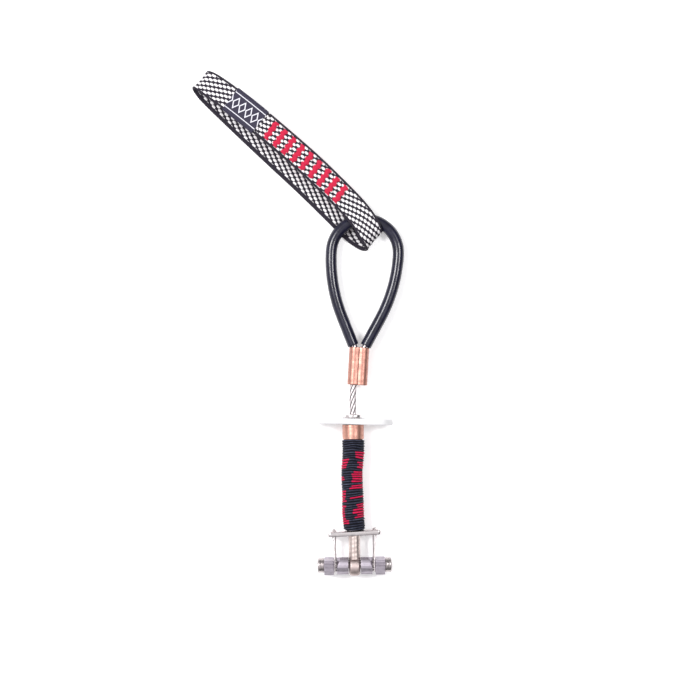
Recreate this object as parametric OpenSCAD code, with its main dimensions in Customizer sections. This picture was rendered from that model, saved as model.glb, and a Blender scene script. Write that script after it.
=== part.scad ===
// Spring loaded camming device, single flexible stem, four lobes, lying on its side.
// X runs along the axle, Y along the stem from the axle towards the thumb loop, Z is up.
// The origin is the middle of the axle. Millimetres.

/* [Cams] */
// Half of the crack width that the open cams fill
open_half_w = 6.85; // [6.5:0.05:7.2]
// Angle between the contact line and the crack's normal
cam_angle = 16; // [13:0.5:17]
// Turn of each cam from open to fully drawn in
cam_turn = 95; // [80:1:95]
// Width of each inner cam along the axle
inner_cam_w = 5.3; // [5:0.05:5.4]
// Width of each outer cam along the axle
outer_cam_w = 4.35; // [4.2:0.05:4.5]
// Radius at which the trigger wire is hooked into a cam
wire_hole_at = 3.9; // [3.8:0.05:4]

/* [Axle and stem] */
// Radius of the axle
axle_r = 1.6; // [1.5:0.05:1.65]
// Length of the collar on each end of the axle
collar_w = 3; // [2.6:0.1:3.2]
// Radius of the stem's cable
cable_r = 1.6; // [1.5:0.05:1.6]
// Outer radius of the steel stem tube
tube_r = 2.65; // [2.6:0.05:2.7]

/* [Trigger] */
// Distance from the axle to the underside of the trigger plate
trigger_y = 64.4; // [62:0.1:66]
// Length of the trigger plate across the stem
trigger_w = 36.6; // [32:0.1:40]
// Height of the trigger plate
trigger_h = 13; // [11:0.5:13]
// Turn of the trigger plate about the vertical
trigger_tilt = -2; // [-3:0.5:3]
// Turn of the wire bridge about the vertical
bridge_tilt = 2.5; // [-2.5:0.5:2.5]

/* [Thumb loop] */
// Length of the copper sleeve that closes the loop
swage_len = 17.2; // [15:0.1:18]
// Radius of the round end of the loop, to the cable's centre
loop_r = 15.4; // [15:0.1:16]
// Outer radius of the plastic sleeve on the loop
loop_sleeve_r = 2.6; // [2.4:0.05:2.6]
// Lean of the loop to the right
loop_lean = 4; // [2:0.1:6]
// Droop of the loop towards the ground
loop_droop = 1.67; // [1.2:0.01:1.8]

/* [Sling] */
// Width of the webbing
web_w = 12; // [11:0.5:13]
// Thickness of one ply of webbing
web_t = 1.5; // [1.3:0.05:1.5]
// Direction of the sling, counted from +X
sling_angle = 138.4; // [120:0.1:150]

/* [Hidden] */
$fn = 64;
EPS = 0.01;

// Sides of the stem, and which way a cam opens
LEFT = -1;
RIGHT = 1;
UP = 1;
DOWN = -1;

// Places along the axle
eye_half_w = 2.55;
inner_cam_x = 2.85;
cam_gap = 1.35;
outer_cam_x = inner_cam_x + inner_cam_w + cam_gap;
collar_x = outer_cam_x + outer_cam_w + 0.1;
head_half_w = collar_x + collar_w;

// Cam outline: a logarithmic spiral on the gripping side, a round hub on the other
spiral = tan(cam_angle) * PI / 180;
contact_r = open_half_w / cos(cam_angle);
tip_at = cam_angle + 7;
spiral_end = cam_angle - cam_turn - 12;
hub_r = contact_r * exp((spiral_end - cam_angle) * spiral) - 0.3;
function spiral_r(a) = contact_r * exp((a - cam_angle) * spiral);
pocket_r = 2.65;
cam_web = 1.8;
bore_gap = 0.05;
// Fine grooves across the gripping face
groove_r = 0.22;
groove_step = 9;

// Trigger wires: hooked at wire_hole_at, half of the cams' turn before the axle's level
wire_r = 0.35;
hook_a = -cam_turn / 2;
hook_y = wire_hole_at * sin(hook_a);
hook_z = wire_hole_at * cos(hook_a);
hook_deep = 2;
travel = -2 * hook_y;

// Wire bridge, a pressed tray that opens towards the cams
bridge_y = 13.6;
bridge_len = 24.4;
bridge_d = 7.6;
bridge_h = 2.2;
bridge_t = 0.8;
bridge_top = bridge_y + bridge_h;
wire_top_z = 1.15;
wire_top_y = bridge_top + 0.24 + wire_r;
wire_knee_y = 4.8;
inner_wire_x = [inner_cam_x + inner_cam_w + 0.1 + wire_r, 8.7];
outer_wire_x = [outer_cam_x - 0.1 - wire_r, 10.1];

// Stem, ferrule and sheath
eye_r = 3.6;
eye_drop = 1.2;
tube_top = 24;
liner_r = 2.6;
ferrule_r = 4.95;
spigot_r = 4.25;
ferrule_y = 57.6;
spigot_y = 52.8;
stop_y = 60.95;
neck_r = 3.3;
trigger_t = 2.8;
plate_gap = 0.2;
washer_r = 4.5;
washer_t = 1.5;
pull_cable_r = 0.5;
pull_cable_x = 3.45;
sheath_r = 5.15;
sheath_in = 4.35;

// The cable's bends above the trigger
bend_y = 75.3;
bend_r = 20;
droop_bend_r = 40;
kink = loop_lean + 0.5;
kink_run = 4.2;
strand_x = 1.7;
swage_lobe_r = 2.85;

// Loop, from the swage's mouth: flare, straight leg, long arc, round end
flare_r = 9;
flare_start = 3.5;
leg_angle = 25;
leg_straight = 14.8;
side_r = (loop_r - strand_x - flare_r * (1 - cos(leg_angle)) - leg_straight * sin(leg_angle)) / (1 - cos(leg_angle));
side_rise = side_r * sin(leg_angle);
loop_centre_y = swage_len - flare_start + flare_r * sin(leg_angle) + leg_straight * cos(leg_angle) + side_rise;

// Ground level under the device, and the sling's route from the loop's centre:
// [along the sling, across it, height above the ground], outer ply first
ground_z = -open_half_w;
SLING_ROUTE = [
    [74, -13.8, 8.58], [60, -13.9, 8.58], [45, -13.8, 8.58], [30, -13, 8.6], [18, -12, 8.8], [10, -10.6, 8.95],
    [4, -8.4, 8.75], [0.8, -6.9, 7.1], [-0.2, -6, 4.7], [1.2, -5.1, 2.4], [5, -4.5, 0.95], [11, -4.4, 0.76],
    [22, -5.3, 0.76], [40, -6.4, 0.76], [60, -7.1, 0.76], [80, -7.9, 0.76], [97, -8.8, 0.8], [105.4, -9.5, 1.9],
    [108.2, -10.3, 4], [105.4, -11.4, 6.2], [97, -12.4, 6.95], [92.5, -12.75, 7], [84, -13.2, 7],
    [75, -13.5, 7], [60, -13.9, 7], [45, -13.8, 7], [30, -13, 7], [22, -12.4, 7.05]
];
// Points of the route: ends of the stitched plies and of the label
OUTER_PLY = [0, 4];
INNER_PLY = [24, 27];
LABEL_PLY = [21, 23];
LABEL_GAP = 0.03;
LABEL_T = 0.25;
TACKS = 9;
TACK_FIRST = 25.9;
TACK_STEP = 5.35;
TACK_SIZE = [2.4, 9.2, 0.22];

// A round rod from point a to point b
module rod(a, b, r) {
    d = b - a;
    translate(a)
        rotate([0, acos(d[2] / norm(d)), atan2(d[1], d[0])])
            cylinder(h = norm(d), r = r);
}

// A cylinder along X from x0 to x1
module along_x(x0, x1, r) {
    translate([x0, 0, 0]) rotate([0, 90, 0]) cylinder(h = x1 - x0, r = r);
}

// A cylinder along Y from y0 to y1
module along_y(y0, y1, r) {
    translate([0, y0, 0]) rotate([-90, 0, 0]) cylinder(h = y1 - y0, r = r);
}

// ---- Cable route ----

// Points of a flat route: legs hold [length, turn to the right]; h is the heading, counted from +Y
function walk(p, h, legs, i = 0) =
    i == len(legs) ? [] :
    let (n = max(1, ceil(abs(legs[i][1]) / 7.5)), turn = legs[i][1] / n,
        rad = turn * PI / 360,
        chord = legs[i][0] / n * (turn == 0 ? 1 : sin(turn / 2) / rad),
        points = [for (k = 0, q = p; k <= n; q = q + chord * [sin(h + (k + 0.5) * turn), cos(h + (k + 0.5) * turn)],
            k = k + 1) q])
        concat([for (k = [1:n]) points[k]], walk(points[n], h + legs[i][1], legs, i + 1));

function arc(r, a) = [r * abs(a) * PI / 180, a];

// A flat route point beyond the bend, lowered with the drooping end of the stem
function drooped(q) = [
    q[0],
    bend_y + droop_bend_r * sin(loop_droop) + q[1] * cos(loop_droop),
    -droop_bend_r * (1 - cos(loop_droop)) - q[1] * sin(loop_droop)
];

TO_SWAGE = [arc(bend_r, kink), [kink_run, 0], arc(bend_r, loop_lean - kink)];
ROUND_LOOP = [
    arc(flare_r, -leg_angle), [leg_straight, 0], arc(side_r, leg_angle), arc(loop_r, 180),
    arc(side_r, leg_angle), [leg_straight, 0], arc(flare_r, -leg_angle)
];
to_swage = concat([[0, 0]], walk([0, 0], 0, TO_SWAGE));
swage_foot = to_swage[len(to_swage) - 1];
along_swage = [sin(loop_lean), cos(loop_lean)];
round_from = swage_foot + (swage_len - flare_start) * along_swage;
round_loop = concat([round_from], walk(round_from, loop_lean, ROUND_LOOP));
loop_end = round_loop[len(round_loop) - 1] - (swage_len - flare_start - 0.6) * along_swage;
CABLE_SIDES = 18;
cable_route = concat(
    [[0, eye_r - 1.4, 0], [0, bend_y, 0]],
    [for (q = to_swage) drooped(q)],
    [for (q = round_loop) drooped(q)],
    [drooped(loop_end)]
);
// The sleeve leaves out the flared steps at both ends
flare_steps = ceil(leg_angle / 7.5);
sleeve_gap = 0.95;
sleeve_ends = [
    for (side = [LEFT, RIGHT])
        let (i = side == LEFT ? flare_steps : len(round_loop) - 1 - flare_steps, p = round_loop[i])
            p + sleeve_gap * (round_loop[i - side] - p) / norm(round_loop[i - side] - p)
];
sleeve_route = concat(
    [drooped(sleeve_ends[0])],
    [for (i = [flare_steps + 1:len(round_loop) - 2 - flare_steps]) drooped(round_loop[i])],
    [drooped(sleeve_ends[1])]
);

function unit(v) = v / norm(v);

// Tangent of a route at its point i
function along(route, i) =
    unit(route[min(i + 1, len(route) - 1)] - route[max(i - 1, 0)]);

// A ring of the given radius square to t, with its first point towards lean
function ring(p, t, lean, r, sides) =
    let (u = unit(lean - (lean * t) * t), v = cross(t, u))
        [for (i = [0:sides - 1]) let (a = 360 * i / sides) p + r * (cos(a) * u + sin(a) * v)];

function level_rings(route, r, sides) =
    [for (i = [0:len(route) - 1]) ring(route[i], along(route, i), [0, 0, 1], r, sides)];

// A solid through a row of rings
module solid_through(rings) {
    n = len(rings);
    k = len(rings[0]);
    polyhedron(
        points = [for (r = rings) each r],
        faces = concat(
            [[for (i = [0:k - 1]) i]],
            [for (j = [0:n - 2]) for (i = [0:k - 1])
                [j * k + i, (j + 1) * k + i, (j + 1) * k + (i + 1) % k, j * k + (i + 1) % k]],
            [[for (i = [k - 1:-1:0]) (n - 1) * k + i]]
        ),
        convexity = 8
    );
}

// A hose between two rows of rings with the same number of points
module hose_between(outer, inner) {
    n = len(outer);
    k = len(outer[0]);
    in = n * k;
    polyhedron(
        points = concat([for (r = outer) each r], [for (r = inner) each r]),
        faces = concat(
            [for (j = [0:n - 2]) for (i = [0:k - 1])
                [j * k + i, (j + 1) * k + i, (j + 1) * k + (i + 1) % k, j * k + (i + 1) % k]],
            [for (j = [0:n - 2]) for (i = [0:k - 1])
                [in + j * k + i, in + j * k + (i + 1) % k, in + (j + 1) * k + (i + 1) % k, in + (j + 1) * k + i]],
            [for (i = [0:k - 1]) [i, (i + 1) % k, in + (i + 1) % k, in + i]],
            [for (i = [0:k - 1])
                [(n - 1) * k + i, in + (n - 1) * k + i, in + (n - 1) * k + (i + 1) % k, (n - 1) * k + (i + 1) % k]]
        ),
        convexity = 8
    );
}

// The swage's own frame: its lower end's centre, loop axis along +Y
module at_swage() {
    translate(drooped(swage_foot)) rotate([-loop_droop, 0, 0]) rotate([0, 0, -loop_lean])
        translate([strand_x, 0, 0]) children();
}

module stem_cable() {
    color("silver") solid_through(level_rings(cable_route, cable_r, CABLE_SIDES));
}

module loop_sleeve() {
    color("black")
        hose_between(level_rings(sleeve_route, loop_sleeve_r, CABLE_SIDES),
            level_rings(sleeve_route, cable_r, CABLE_SIDES));
}

module loop_swage() {
    mouth = swage_len - flare_start;
    color([0.85, 0.55, 0.42]) at_swage() difference() {
        for (side = [LEFT, RIGHT])
            translate([side * strand_x, 0, 0]) along_y(0, swage_len, swage_lobe_r);
        for (side = [LEFT, RIGHT]) translate([side * strand_x, 0, 0]) {
            along_y(-1, mouth + 1, cable_r);
            translate([0, mouth, 0]) rotate([-90, 0, 0]) cylinder(h = flare_start + 1, r1 = cable_r, r2 = cable_r + 1.1);
        }
    }
}

// ---- Head ----

module axle() {
    color("gray") along_x(-head_half_w + 0.7, head_half_w - 0.7, axle_r);
}

module axle_collar(side) {
    edge = 0.7;
    outer_r = 3.4;
    color("gray") mirror([side == LEFT ? 1 : 0, 0, 0]) difference() {
        translate([collar_x, 0, 0]) rotate([0, 90, 0]) rotate_extrude()
            union() {
                square([outer_r, collar_w - edge]);
                square([outer_r - edge, collar_w]);
                translate([outer_r - edge, collar_w - edge]) circle(r = edge, $fn = 32);
            }
        along_x(0, head_half_w - 0.7, axle_r);
        spring_leg_hole(collar_x - EPS, collar_x + 1);
    }
}

// Thin rings that hold the inner and outer cams apart
module axle_spacers() {
    color("gray") for (side = [LEFT, RIGHT]) mirror([side == LEFT ? 1 : 0, 0, 0]) difference() {
        along_x(inner_cam_x + inner_cam_w + bore_gap, outer_cam_x - bore_gap, 1.95);
        along_x(0, head_half_w, axle_r);
    }
}

// A rounded barrel about a line along the axle
module eye_barrel(edge) {
    rotate([0, 90, 0]) rotate_extrude($fn = 48) {
        translate([0, -eye_half_w + edge]) square([eye_r, 2 * (eye_half_w - edge)]);
        translate([0, -eye_half_w]) square([eye_r - edge, 2 * eye_half_w]);
        for (s = [-1, 1])
            translate([eye_r - edge, s * (eye_half_w - edge)]) circle(r = edge, $fn = 24);
    }
}

module head_eye() {
    color([0.62, 0.56, 0.55]) difference() {
        hull() {
            eye_barrel(1);
            translate([0, -eye_drop, 0]) eye_barrel(1);
        }
        along_x(-5, 5, axle_r);
        along_y(eye_r - 1.4, 6, cable_r);
        along_y(eye_r - 1, 6, tube_r);
        for (side = [0, 1]) mirror([side, 0, 0]) spring_leg_hole(eye_half_w - 1, eye_half_w + 1);
    }
}

module stem_tube() {
    color("silver") difference() {
        along_y(eye_r - 1, tube_top, tube_r);
        along_y(0, tube_top + 1, cable_r);
        along_x(-5, 5, axle_r + 0.9);
    }
}

// Plastic liner over the cable; its top stops the trigger ferrule
module stem_liner() {
    color("dimgray") difference() {
        along_y(tube_top, stop_y, liner_r);
        along_y(0, stop_y + 1, cable_r);
    }
}

// Cam outline in its own plane: first axis towards the crack wall, second towards the thumb loop
module cam_outline() {
    polygon(concat(
        [for (a = [tip_at:-4:spiral_end]) spiral_r(a) * [cos(a), sin(a)]],
        [for (a = [spiral_end:-12:-255]) hub_r * [cos(a), sin(a)]]
    ));
}

// A hole along X for a spring's leg
module spring_leg_hole(x0, x1) {
    translate([0, spring_mid_r, 0]) along_x(x0, x1, spring_wire_r + bore_gap);
}

// A cam with its gap face at gap_x and its pocket face at pocket_x, opening UP or DOWN
module cam(gap_x, pocket_x, opens) {
    low = min(gap_x, pocket_x);
    wide = abs(gap_x - pocket_x);
    inwards = sign(pocket_x - gap_x);
    web_x = gap_x + inwards * cam_web;
    color([0.62, 0.6, 0.66]) difference() {
        // The outline's first axis goes to +Z or -Z, its second to +Y, the extrusion along X
        translate([low, 0, 0])
            multmatrix([[0, 0, 1, 0], [0, 1, 0, 0], [opens, 0, 0, 0], [0, 0, 0, 1]])
                linear_extrude(height = wide) cam_outline();
        along_x(low - 1, low + wide + 1, axle_r + bore_gap);
        along_x(min(web_x, pocket_x + inwards), max(web_x, pocket_x + inwards), pocket_r);
        translate([0, hook_y, opens * hook_z])
            along_x(min(gap_x - inwards, gap_x + inwards * (hook_deep + 0.4)),
                max(gap_x - inwards, gap_x + inwards * (hook_deep + 0.4)), wire_r + bore_gap);
        spring_leg_hole(min(web_x - inwards * 1, web_x + inwards), max(web_x - inwards * 1, web_x + inwards));
        for (a = [cam_angle - 4:-groove_step:spiral_end + 5])
            translate([0, spiral_r(a) * sin(a), opens * spiral_r(a) * cos(a)])
                along_x(low - 1, low + wide + 1, groove_r, $fn = 16);
    }
}

module cam_outer(side) {
    cam(side * outer_cam_x, side * (outer_cam_x + outer_cam_w), UP);
}

module cam_inner(side) {
    cam(side * (inner_cam_x + inner_cam_w), side * inner_cam_x, DOWN);
}

// Torsion spring: legs parallel to the axle at both ends, coil in the cam's pocket
spring_wire_r = 0.26;
spring_mid_r = 2.12;
SPRING_SIDES = 8;
SPRING_STEP = 20;

// Centreline of a spring between a hole at x0 and one at x3, coiled between x1 and x2
function spring_route(x0, x1, x2, x3, turns) = concat(
    [[x0, spring_mid_r, 0]],
    [for (a = [0:SPRING_STEP:360 * turns])
        [x1 + (x2 - x1) * a / (360 * turns), spring_mid_r * cos(a), spring_mid_r * sin(a)]],
    [[x3, spring_mid_r, 0]]
);

module cam_spring(anchor_x, web_x, turns) {
    inwards = sign(web_x - anchor_x);
    first = anchor_x + inwards * (0.5 + spring_wire_r);
    last = web_x - inwards * (0.1 + spring_wire_r);
    route = spring_route(anchor_x - inwards * 0.6, first, last, web_x + inwards * 0.7, turns);
    color("dimgray") solid_through([
        for (i = [0:len(route) - 1])
            ring(route[i], along(route, i), [0, route[i][1], route[i][2]], spring_wire_r, SPRING_SIDES)
    ]);
}

module cam_spring_inner(side) {
    cam_spring(side * eye_half_w, side * (inner_cam_x + inner_cam_w - cam_web), 3);
}

module cam_spring_outer(side) {
    cam_spring(side * collar_x, side * (outer_cam_x + cam_web), 2);
}

// ---- Trigger ----

// A wire from the hook in a cam, bent once, to the bridge; xs holds its distances from the stem
module trigger_wire(side, xs, opens, hook_way, top_way) {
    top = wire_top_y + side * xs[1] * tan(bridge_tilt);
    low_end = [side * xs[0], hook_y, opens * hook_z];
    high_end = [side * xs[1], top, opens * wire_top_z];
    knee = [side * xs[0], wire_knee_y, opens * (hook_z + (wire_top_z - hook_z) * (wire_knee_y - hook_y) / (top - hook_y))];
    hook = [side * hook_way, 0, 0];
    catch = [side * top_way, 0, 0];
    color("silver") {
        rod(low_end, knee, wire_r - 0.02);
        rod(knee, high_end, wire_r - 0.03);
        translate(knee) sphere(r = wire_r - 0.01, $fn = 32);
        rod(low_end - wire_r * hook, low_end + (hook_deep + 0.1) * hook, wire_r);
        rod(high_end - wire_r * catch, high_end + 1.3 * catch, wire_r);
    }
}

module trigger_wire_outer(side) {
    trigger_wire(side, outer_wire_x, UP, 1, -1);
}

module trigger_wire_inner(side) {
    trigger_wire(side, inner_wire_x, DOWN, -1, 1);
}

// A plate of rounded outline, length x depth, thickness along Y
module rounded_plate(length, depth, thick, corner) {
    rotate([-90, 0, 0]) linear_extrude(height = thick) {
        square([length - 2 * corner, depth], center = true);
        square([length, depth - 2 * corner], center = true);
        for (x = [-1, 1], z = [-1, 1])
            translate([x * (length / 2 - corner), z * (depth / 2 - corner)]) circle(r = corner);
    }
}

module wire_slot(x, opens) {
    reach = wire_hole_at - hook_z;
    rotate([-90, 0, 0]) linear_extrude(height = 30) {
        for (z = [wire_top_z - 0.1, wire_top_z + reach + 0.1])
            translate([x, -opens * z]) circle(r = wire_r + 0.15);
        translate([x - wire_r - 0.15, min(-opens * (wire_top_z - 0.1), -opens * (wire_top_z + reach + 0.1))])
            square([2 * wire_r + 0.3, reach + 0.2]);
    }
}

module wire_bridge() {
    lip = 0.65;
    color("lightgray") difference() {
        translate([0, bridge_top, 0]) rotate([0, 0, bridge_tilt]) translate([0, -bridge_top, 0]) difference() {
            translate([0, bridge_y, 0]) rounded_plate(bridge_len, bridge_d, bridge_h, 1.4);
            translate([0, bridge_y - 1, 0])
                rounded_plate(bridge_len - 2 * lip, bridge_d - 2 * lip, bridge_h - bridge_t + 1, 0.75);
        }
        along_y(0, 30, tube_r + 0.2);
        for (side = [LEFT, RIGHT]) {
            wire_slot(side * outer_wire_x[1], UP);
            wire_slot(side * inner_wire_x[1], DOWN);
            translate([side * pull_cable_x, 0, 0]) along_y(0, 30, pull_cable_r);
        }
    }
}

module bridge_cable_stops() {
    color("silver") for (side = [LEFT, RIGHT]) translate([side * pull_cable_x, 0, 0]) difference() {
        along_y(bridge_y + 0.1, bridge_top - bridge_t - 0.25, 0.78);
        along_y(0, 30, pull_cable_r);
    }
}

module trigger_cable(side) {
    color("silver") translate([side * pull_cable_x, 0, 0]) along_y(bridge_y + 0.1, ferrule_y, pull_cable_r);
}

module stem_sheath() {
    color([0.12, 0.12, 0.15]) difference() {
        along_y(bridge_top + 0.25, ferrule_y, sheath_r);
        along_y(0, 80, sheath_in);
    }
}

module trigger_ferrule() {
    color([0.8, 0.52, 0.38]) difference() {
        union() {
            along_y(spigot_y, ferrule_y, spigot_r);
            along_y(ferrule_y, trigger_y - plate_gap, ferrule_r);
            along_y(trigger_y - 1, trigger_y + trigger_t, neck_r);
        }
        along_y(0, stop_y, liner_r + 0.12);
        along_y(0, 80, cable_r + 0.2);
        for (side = [LEFT, RIGHT])
            translate([side * pull_cable_x, 0, 0]) along_y(0, ferrule_y, pull_cable_r);
    }
}

module trigger_plate() {
    end_r = trigger_h / 2;
    scallop_r = 30;
    color("whitesmoke") difference() {
        translate([0, trigger_y, 0]) rotate([0, 0, trigger_tilt]) rotate([-90, 0, 0])
            linear_extrude(height = trigger_t) difference() {
                union() {
                    square([trigger_w - 2 * end_r, trigger_h], center = true);
                    for (s = [-1, 1]) translate([s * (trigger_w / 2 - end_r), 0]) circle(r = end_r);
                }
                for (s = [-1, 1])
                    translate([0, s * (end_r + scallop_r - 0.9)]) circle(r = scallop_r, $fn = 128);
            }
        along_y(60, 70, neck_r);
    }
}

module trigger_washer() {
    color("silver") difference() {
        along_y(trigger_y + trigger_t + plate_gap, trigger_y + trigger_t + plate_gap + washer_t, washer_r);
        along_y(60, 75, cable_r + 0.2);
    }
}

// ---- Sling ----

// Point at t (0 to 1) between b and c of four route points
function between(a, b, c, d, t) =
    0.5 * (2 * b + (c - a) * t + (2 * a - 5 * b + 4 * c - d) * t * t + (3 * b - a - 3 * c + d) * t * t * t);

function route_point(route, i, t) =
    let (n = len(route) - 1)
        between(route[max(i - 1, 0)], route[i], route[i + 1], route[min(i + 2, n)], t);

ROUTE_STEPS = 3;
function smooth(route) = concat(
    [for (i = [0:len(route) - 2]) for (k = [0:ROUTE_STEPS - 1]) route_point(route, i, k / ROUTE_STEPS)],
    [route[len(route) - 1]]
);

sling_line = smooth(SLING_ROUTE);

// Section of the webbing at point i of its line, grown by the given amount on all sides
function web_section(i, grow = 0) =
    let (t = along(sling_line, i),
        w = unit([0, 1, 0] - t[1] * t) * (web_w / 2 + grow),
        h = unit(cross(t, w)) * (web_t / 2 + grow), p = sling_line[i])
            [p + w + h, p + w - h, p - w - h, p - w + h];

// Place of the loop's centre in the part's frame, for the sling, which lies level on the ground
loop_centre = drooped(swage_foot + strand_x * [cos(loop_lean), -sin(loop_lean)] + loop_centre_y * along_swage);

module at_sling() {
    translate([loop_centre[0], loop_centre[1], ground_z]) rotate([0, 0, sling_angle]) children();
}

module sling_webbing() {
    color([0.75, 0.73, 0.74]) at_sling() solid_through([for (i = [0:len(sling_line) - 1]) web_section(i)]);
}

// A woven tab folded round the single ply
module sling_label() {
    stations = [LABEL_PLY[0] * ROUTE_STEPS:LABEL_PLY[1] * ROUTE_STEPS];
    color([0.16, 0.15, 0.2]) at_sling()
        hose_between([for (i = stations) web_section(i, LABEL_GAP + LABEL_T)],
            [for (i = stations) web_section(i, LABEL_GAP)]);
}

// How coordinate k of a ply depends on the distance along the sling
function ply(ends, k) = [for (i = [ends[0] * ROUTE_STEPS:ends[1] * ROUTE_STEPS]) [sling_line[i][0], sling_line[i][k]]];

// Dense rows of stitches through both plies, above and below them
module sling_bar_tacks() {
    proud = web_t / 2 + 0.05;
    color([0.9, 0.15, 0.28]) at_sling() for (i = [0:TACKS - 1]) {
        u = TACK_FIRST + i * TACK_STEP;
        for (face = [[OUTER_PLY, proud], [INNER_PLY, -proud - TACK_SIZE[2]]])
            translate([
                u - TACK_SIZE[0] / 2,
                lookup(u, ply(face[0], 1)) - TACK_SIZE[1] / 2,
                lookup(u, ply(face[0], 2)) + face[1]
            ]) cube(TACK_SIZE);
    }
}

axle();
axle_collar(LEFT);  // axle_collar_left
axle_collar(RIGHT);  // axle_collar_right
axle_spacers();
head_eye();
stem_tube();
stem_liner();
stem_cable();
loop_swage();
loop_sleeve();
cam_outer(LEFT);  // cam_outer_left
cam_inner(LEFT);  // cam_inner_left
cam_inner(RIGHT);  // cam_inner_right
cam_outer(RIGHT);  // cam_outer_right
cam_spring_outer(LEFT);  // cam_spring_outer_left
cam_spring_inner(LEFT);  // cam_spring_inner_left
cam_spring_inner(RIGHT);  // cam_spring_inner_right
cam_spring_outer(RIGHT);  // cam_spring_outer_right
trigger_wire_outer(LEFT);  // trigger_wire_outer_left
trigger_wire_inner(LEFT);  // trigger_wire_inner_left
trigger_wire_inner(RIGHT);  // trigger_wire_inner_right
trigger_wire_outer(RIGHT);  // trigger_wire_outer_right
wire_bridge();
bridge_cable_stops();
trigger_cable(LEFT);  // trigger_cable_left
trigger_cable(RIGHT);  // trigger_cable_right
stem_sheath();
trigger_ferrule();
trigger_plate();
trigger_washer();
sling_webbing();
sling_label();
sling_bar_tacks();
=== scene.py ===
"""Looks of a small four-lobe camming device lying on its side with its sewn sling.

Every length in this file is in millimetres until `Builder` turns it into metres. The axes are the part's own:
X along the axle, Y along the stem towards the thumb loop, Z up. The origin is the middle of the axle.
"""

import logging
import math
from dataclasses import dataclass, field
from enum import Enum
from itertools import product
from typing import Any, Sequence

import bmesh
import bpy
import numpy as np
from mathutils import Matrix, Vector


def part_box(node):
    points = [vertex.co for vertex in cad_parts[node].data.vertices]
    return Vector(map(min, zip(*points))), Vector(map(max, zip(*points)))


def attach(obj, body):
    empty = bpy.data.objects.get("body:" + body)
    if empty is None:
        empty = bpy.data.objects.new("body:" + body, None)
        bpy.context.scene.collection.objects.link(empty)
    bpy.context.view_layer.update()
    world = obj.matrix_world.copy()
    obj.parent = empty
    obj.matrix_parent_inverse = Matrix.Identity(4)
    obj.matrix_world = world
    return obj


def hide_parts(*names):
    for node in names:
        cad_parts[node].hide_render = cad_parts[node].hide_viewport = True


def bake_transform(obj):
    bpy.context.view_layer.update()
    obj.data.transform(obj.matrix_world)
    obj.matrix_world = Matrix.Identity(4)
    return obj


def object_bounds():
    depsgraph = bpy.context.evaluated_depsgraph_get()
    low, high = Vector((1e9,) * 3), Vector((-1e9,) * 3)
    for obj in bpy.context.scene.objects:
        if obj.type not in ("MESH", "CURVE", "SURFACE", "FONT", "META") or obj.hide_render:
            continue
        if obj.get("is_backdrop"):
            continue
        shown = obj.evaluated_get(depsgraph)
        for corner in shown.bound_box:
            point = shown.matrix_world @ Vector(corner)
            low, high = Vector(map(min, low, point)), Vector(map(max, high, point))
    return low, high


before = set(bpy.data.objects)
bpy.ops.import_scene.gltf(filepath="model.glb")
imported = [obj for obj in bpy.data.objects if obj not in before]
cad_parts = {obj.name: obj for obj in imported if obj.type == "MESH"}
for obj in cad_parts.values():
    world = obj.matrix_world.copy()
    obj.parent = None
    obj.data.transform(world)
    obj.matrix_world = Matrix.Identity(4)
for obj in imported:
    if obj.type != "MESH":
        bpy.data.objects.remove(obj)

LOG = logging.getLogger("camming_device")
MM = 0.001
CM = 10.0  # millimetres in one unit of a tape's or a thread's UV map
ROD_UV = 0.01  # UV units in one millimetre along rods, hoses and turned pieces
TURN = 2 * math.pi
CAD_BOX = [list(corner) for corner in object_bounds()]

Socket = bpy.types.NodeSocket
Colour = tuple[float, float, float]
Profile = Sequence[tuple[float, float]]


class Side(Enum):
    """Which side of the stem a piece is on."""

    LEFT = -1
    RIGHT = 1


class Opens(Enum):
    """Which way a lobe opens."""

    UP = 1
    DOWN = -1


class Place(Enum):
    """Whether a lobe is next to the stem or at the axle's end."""

    INNER = "inner"
    OUTER = "outer"


# ---------------------------------------------------------------- mesh making


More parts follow.
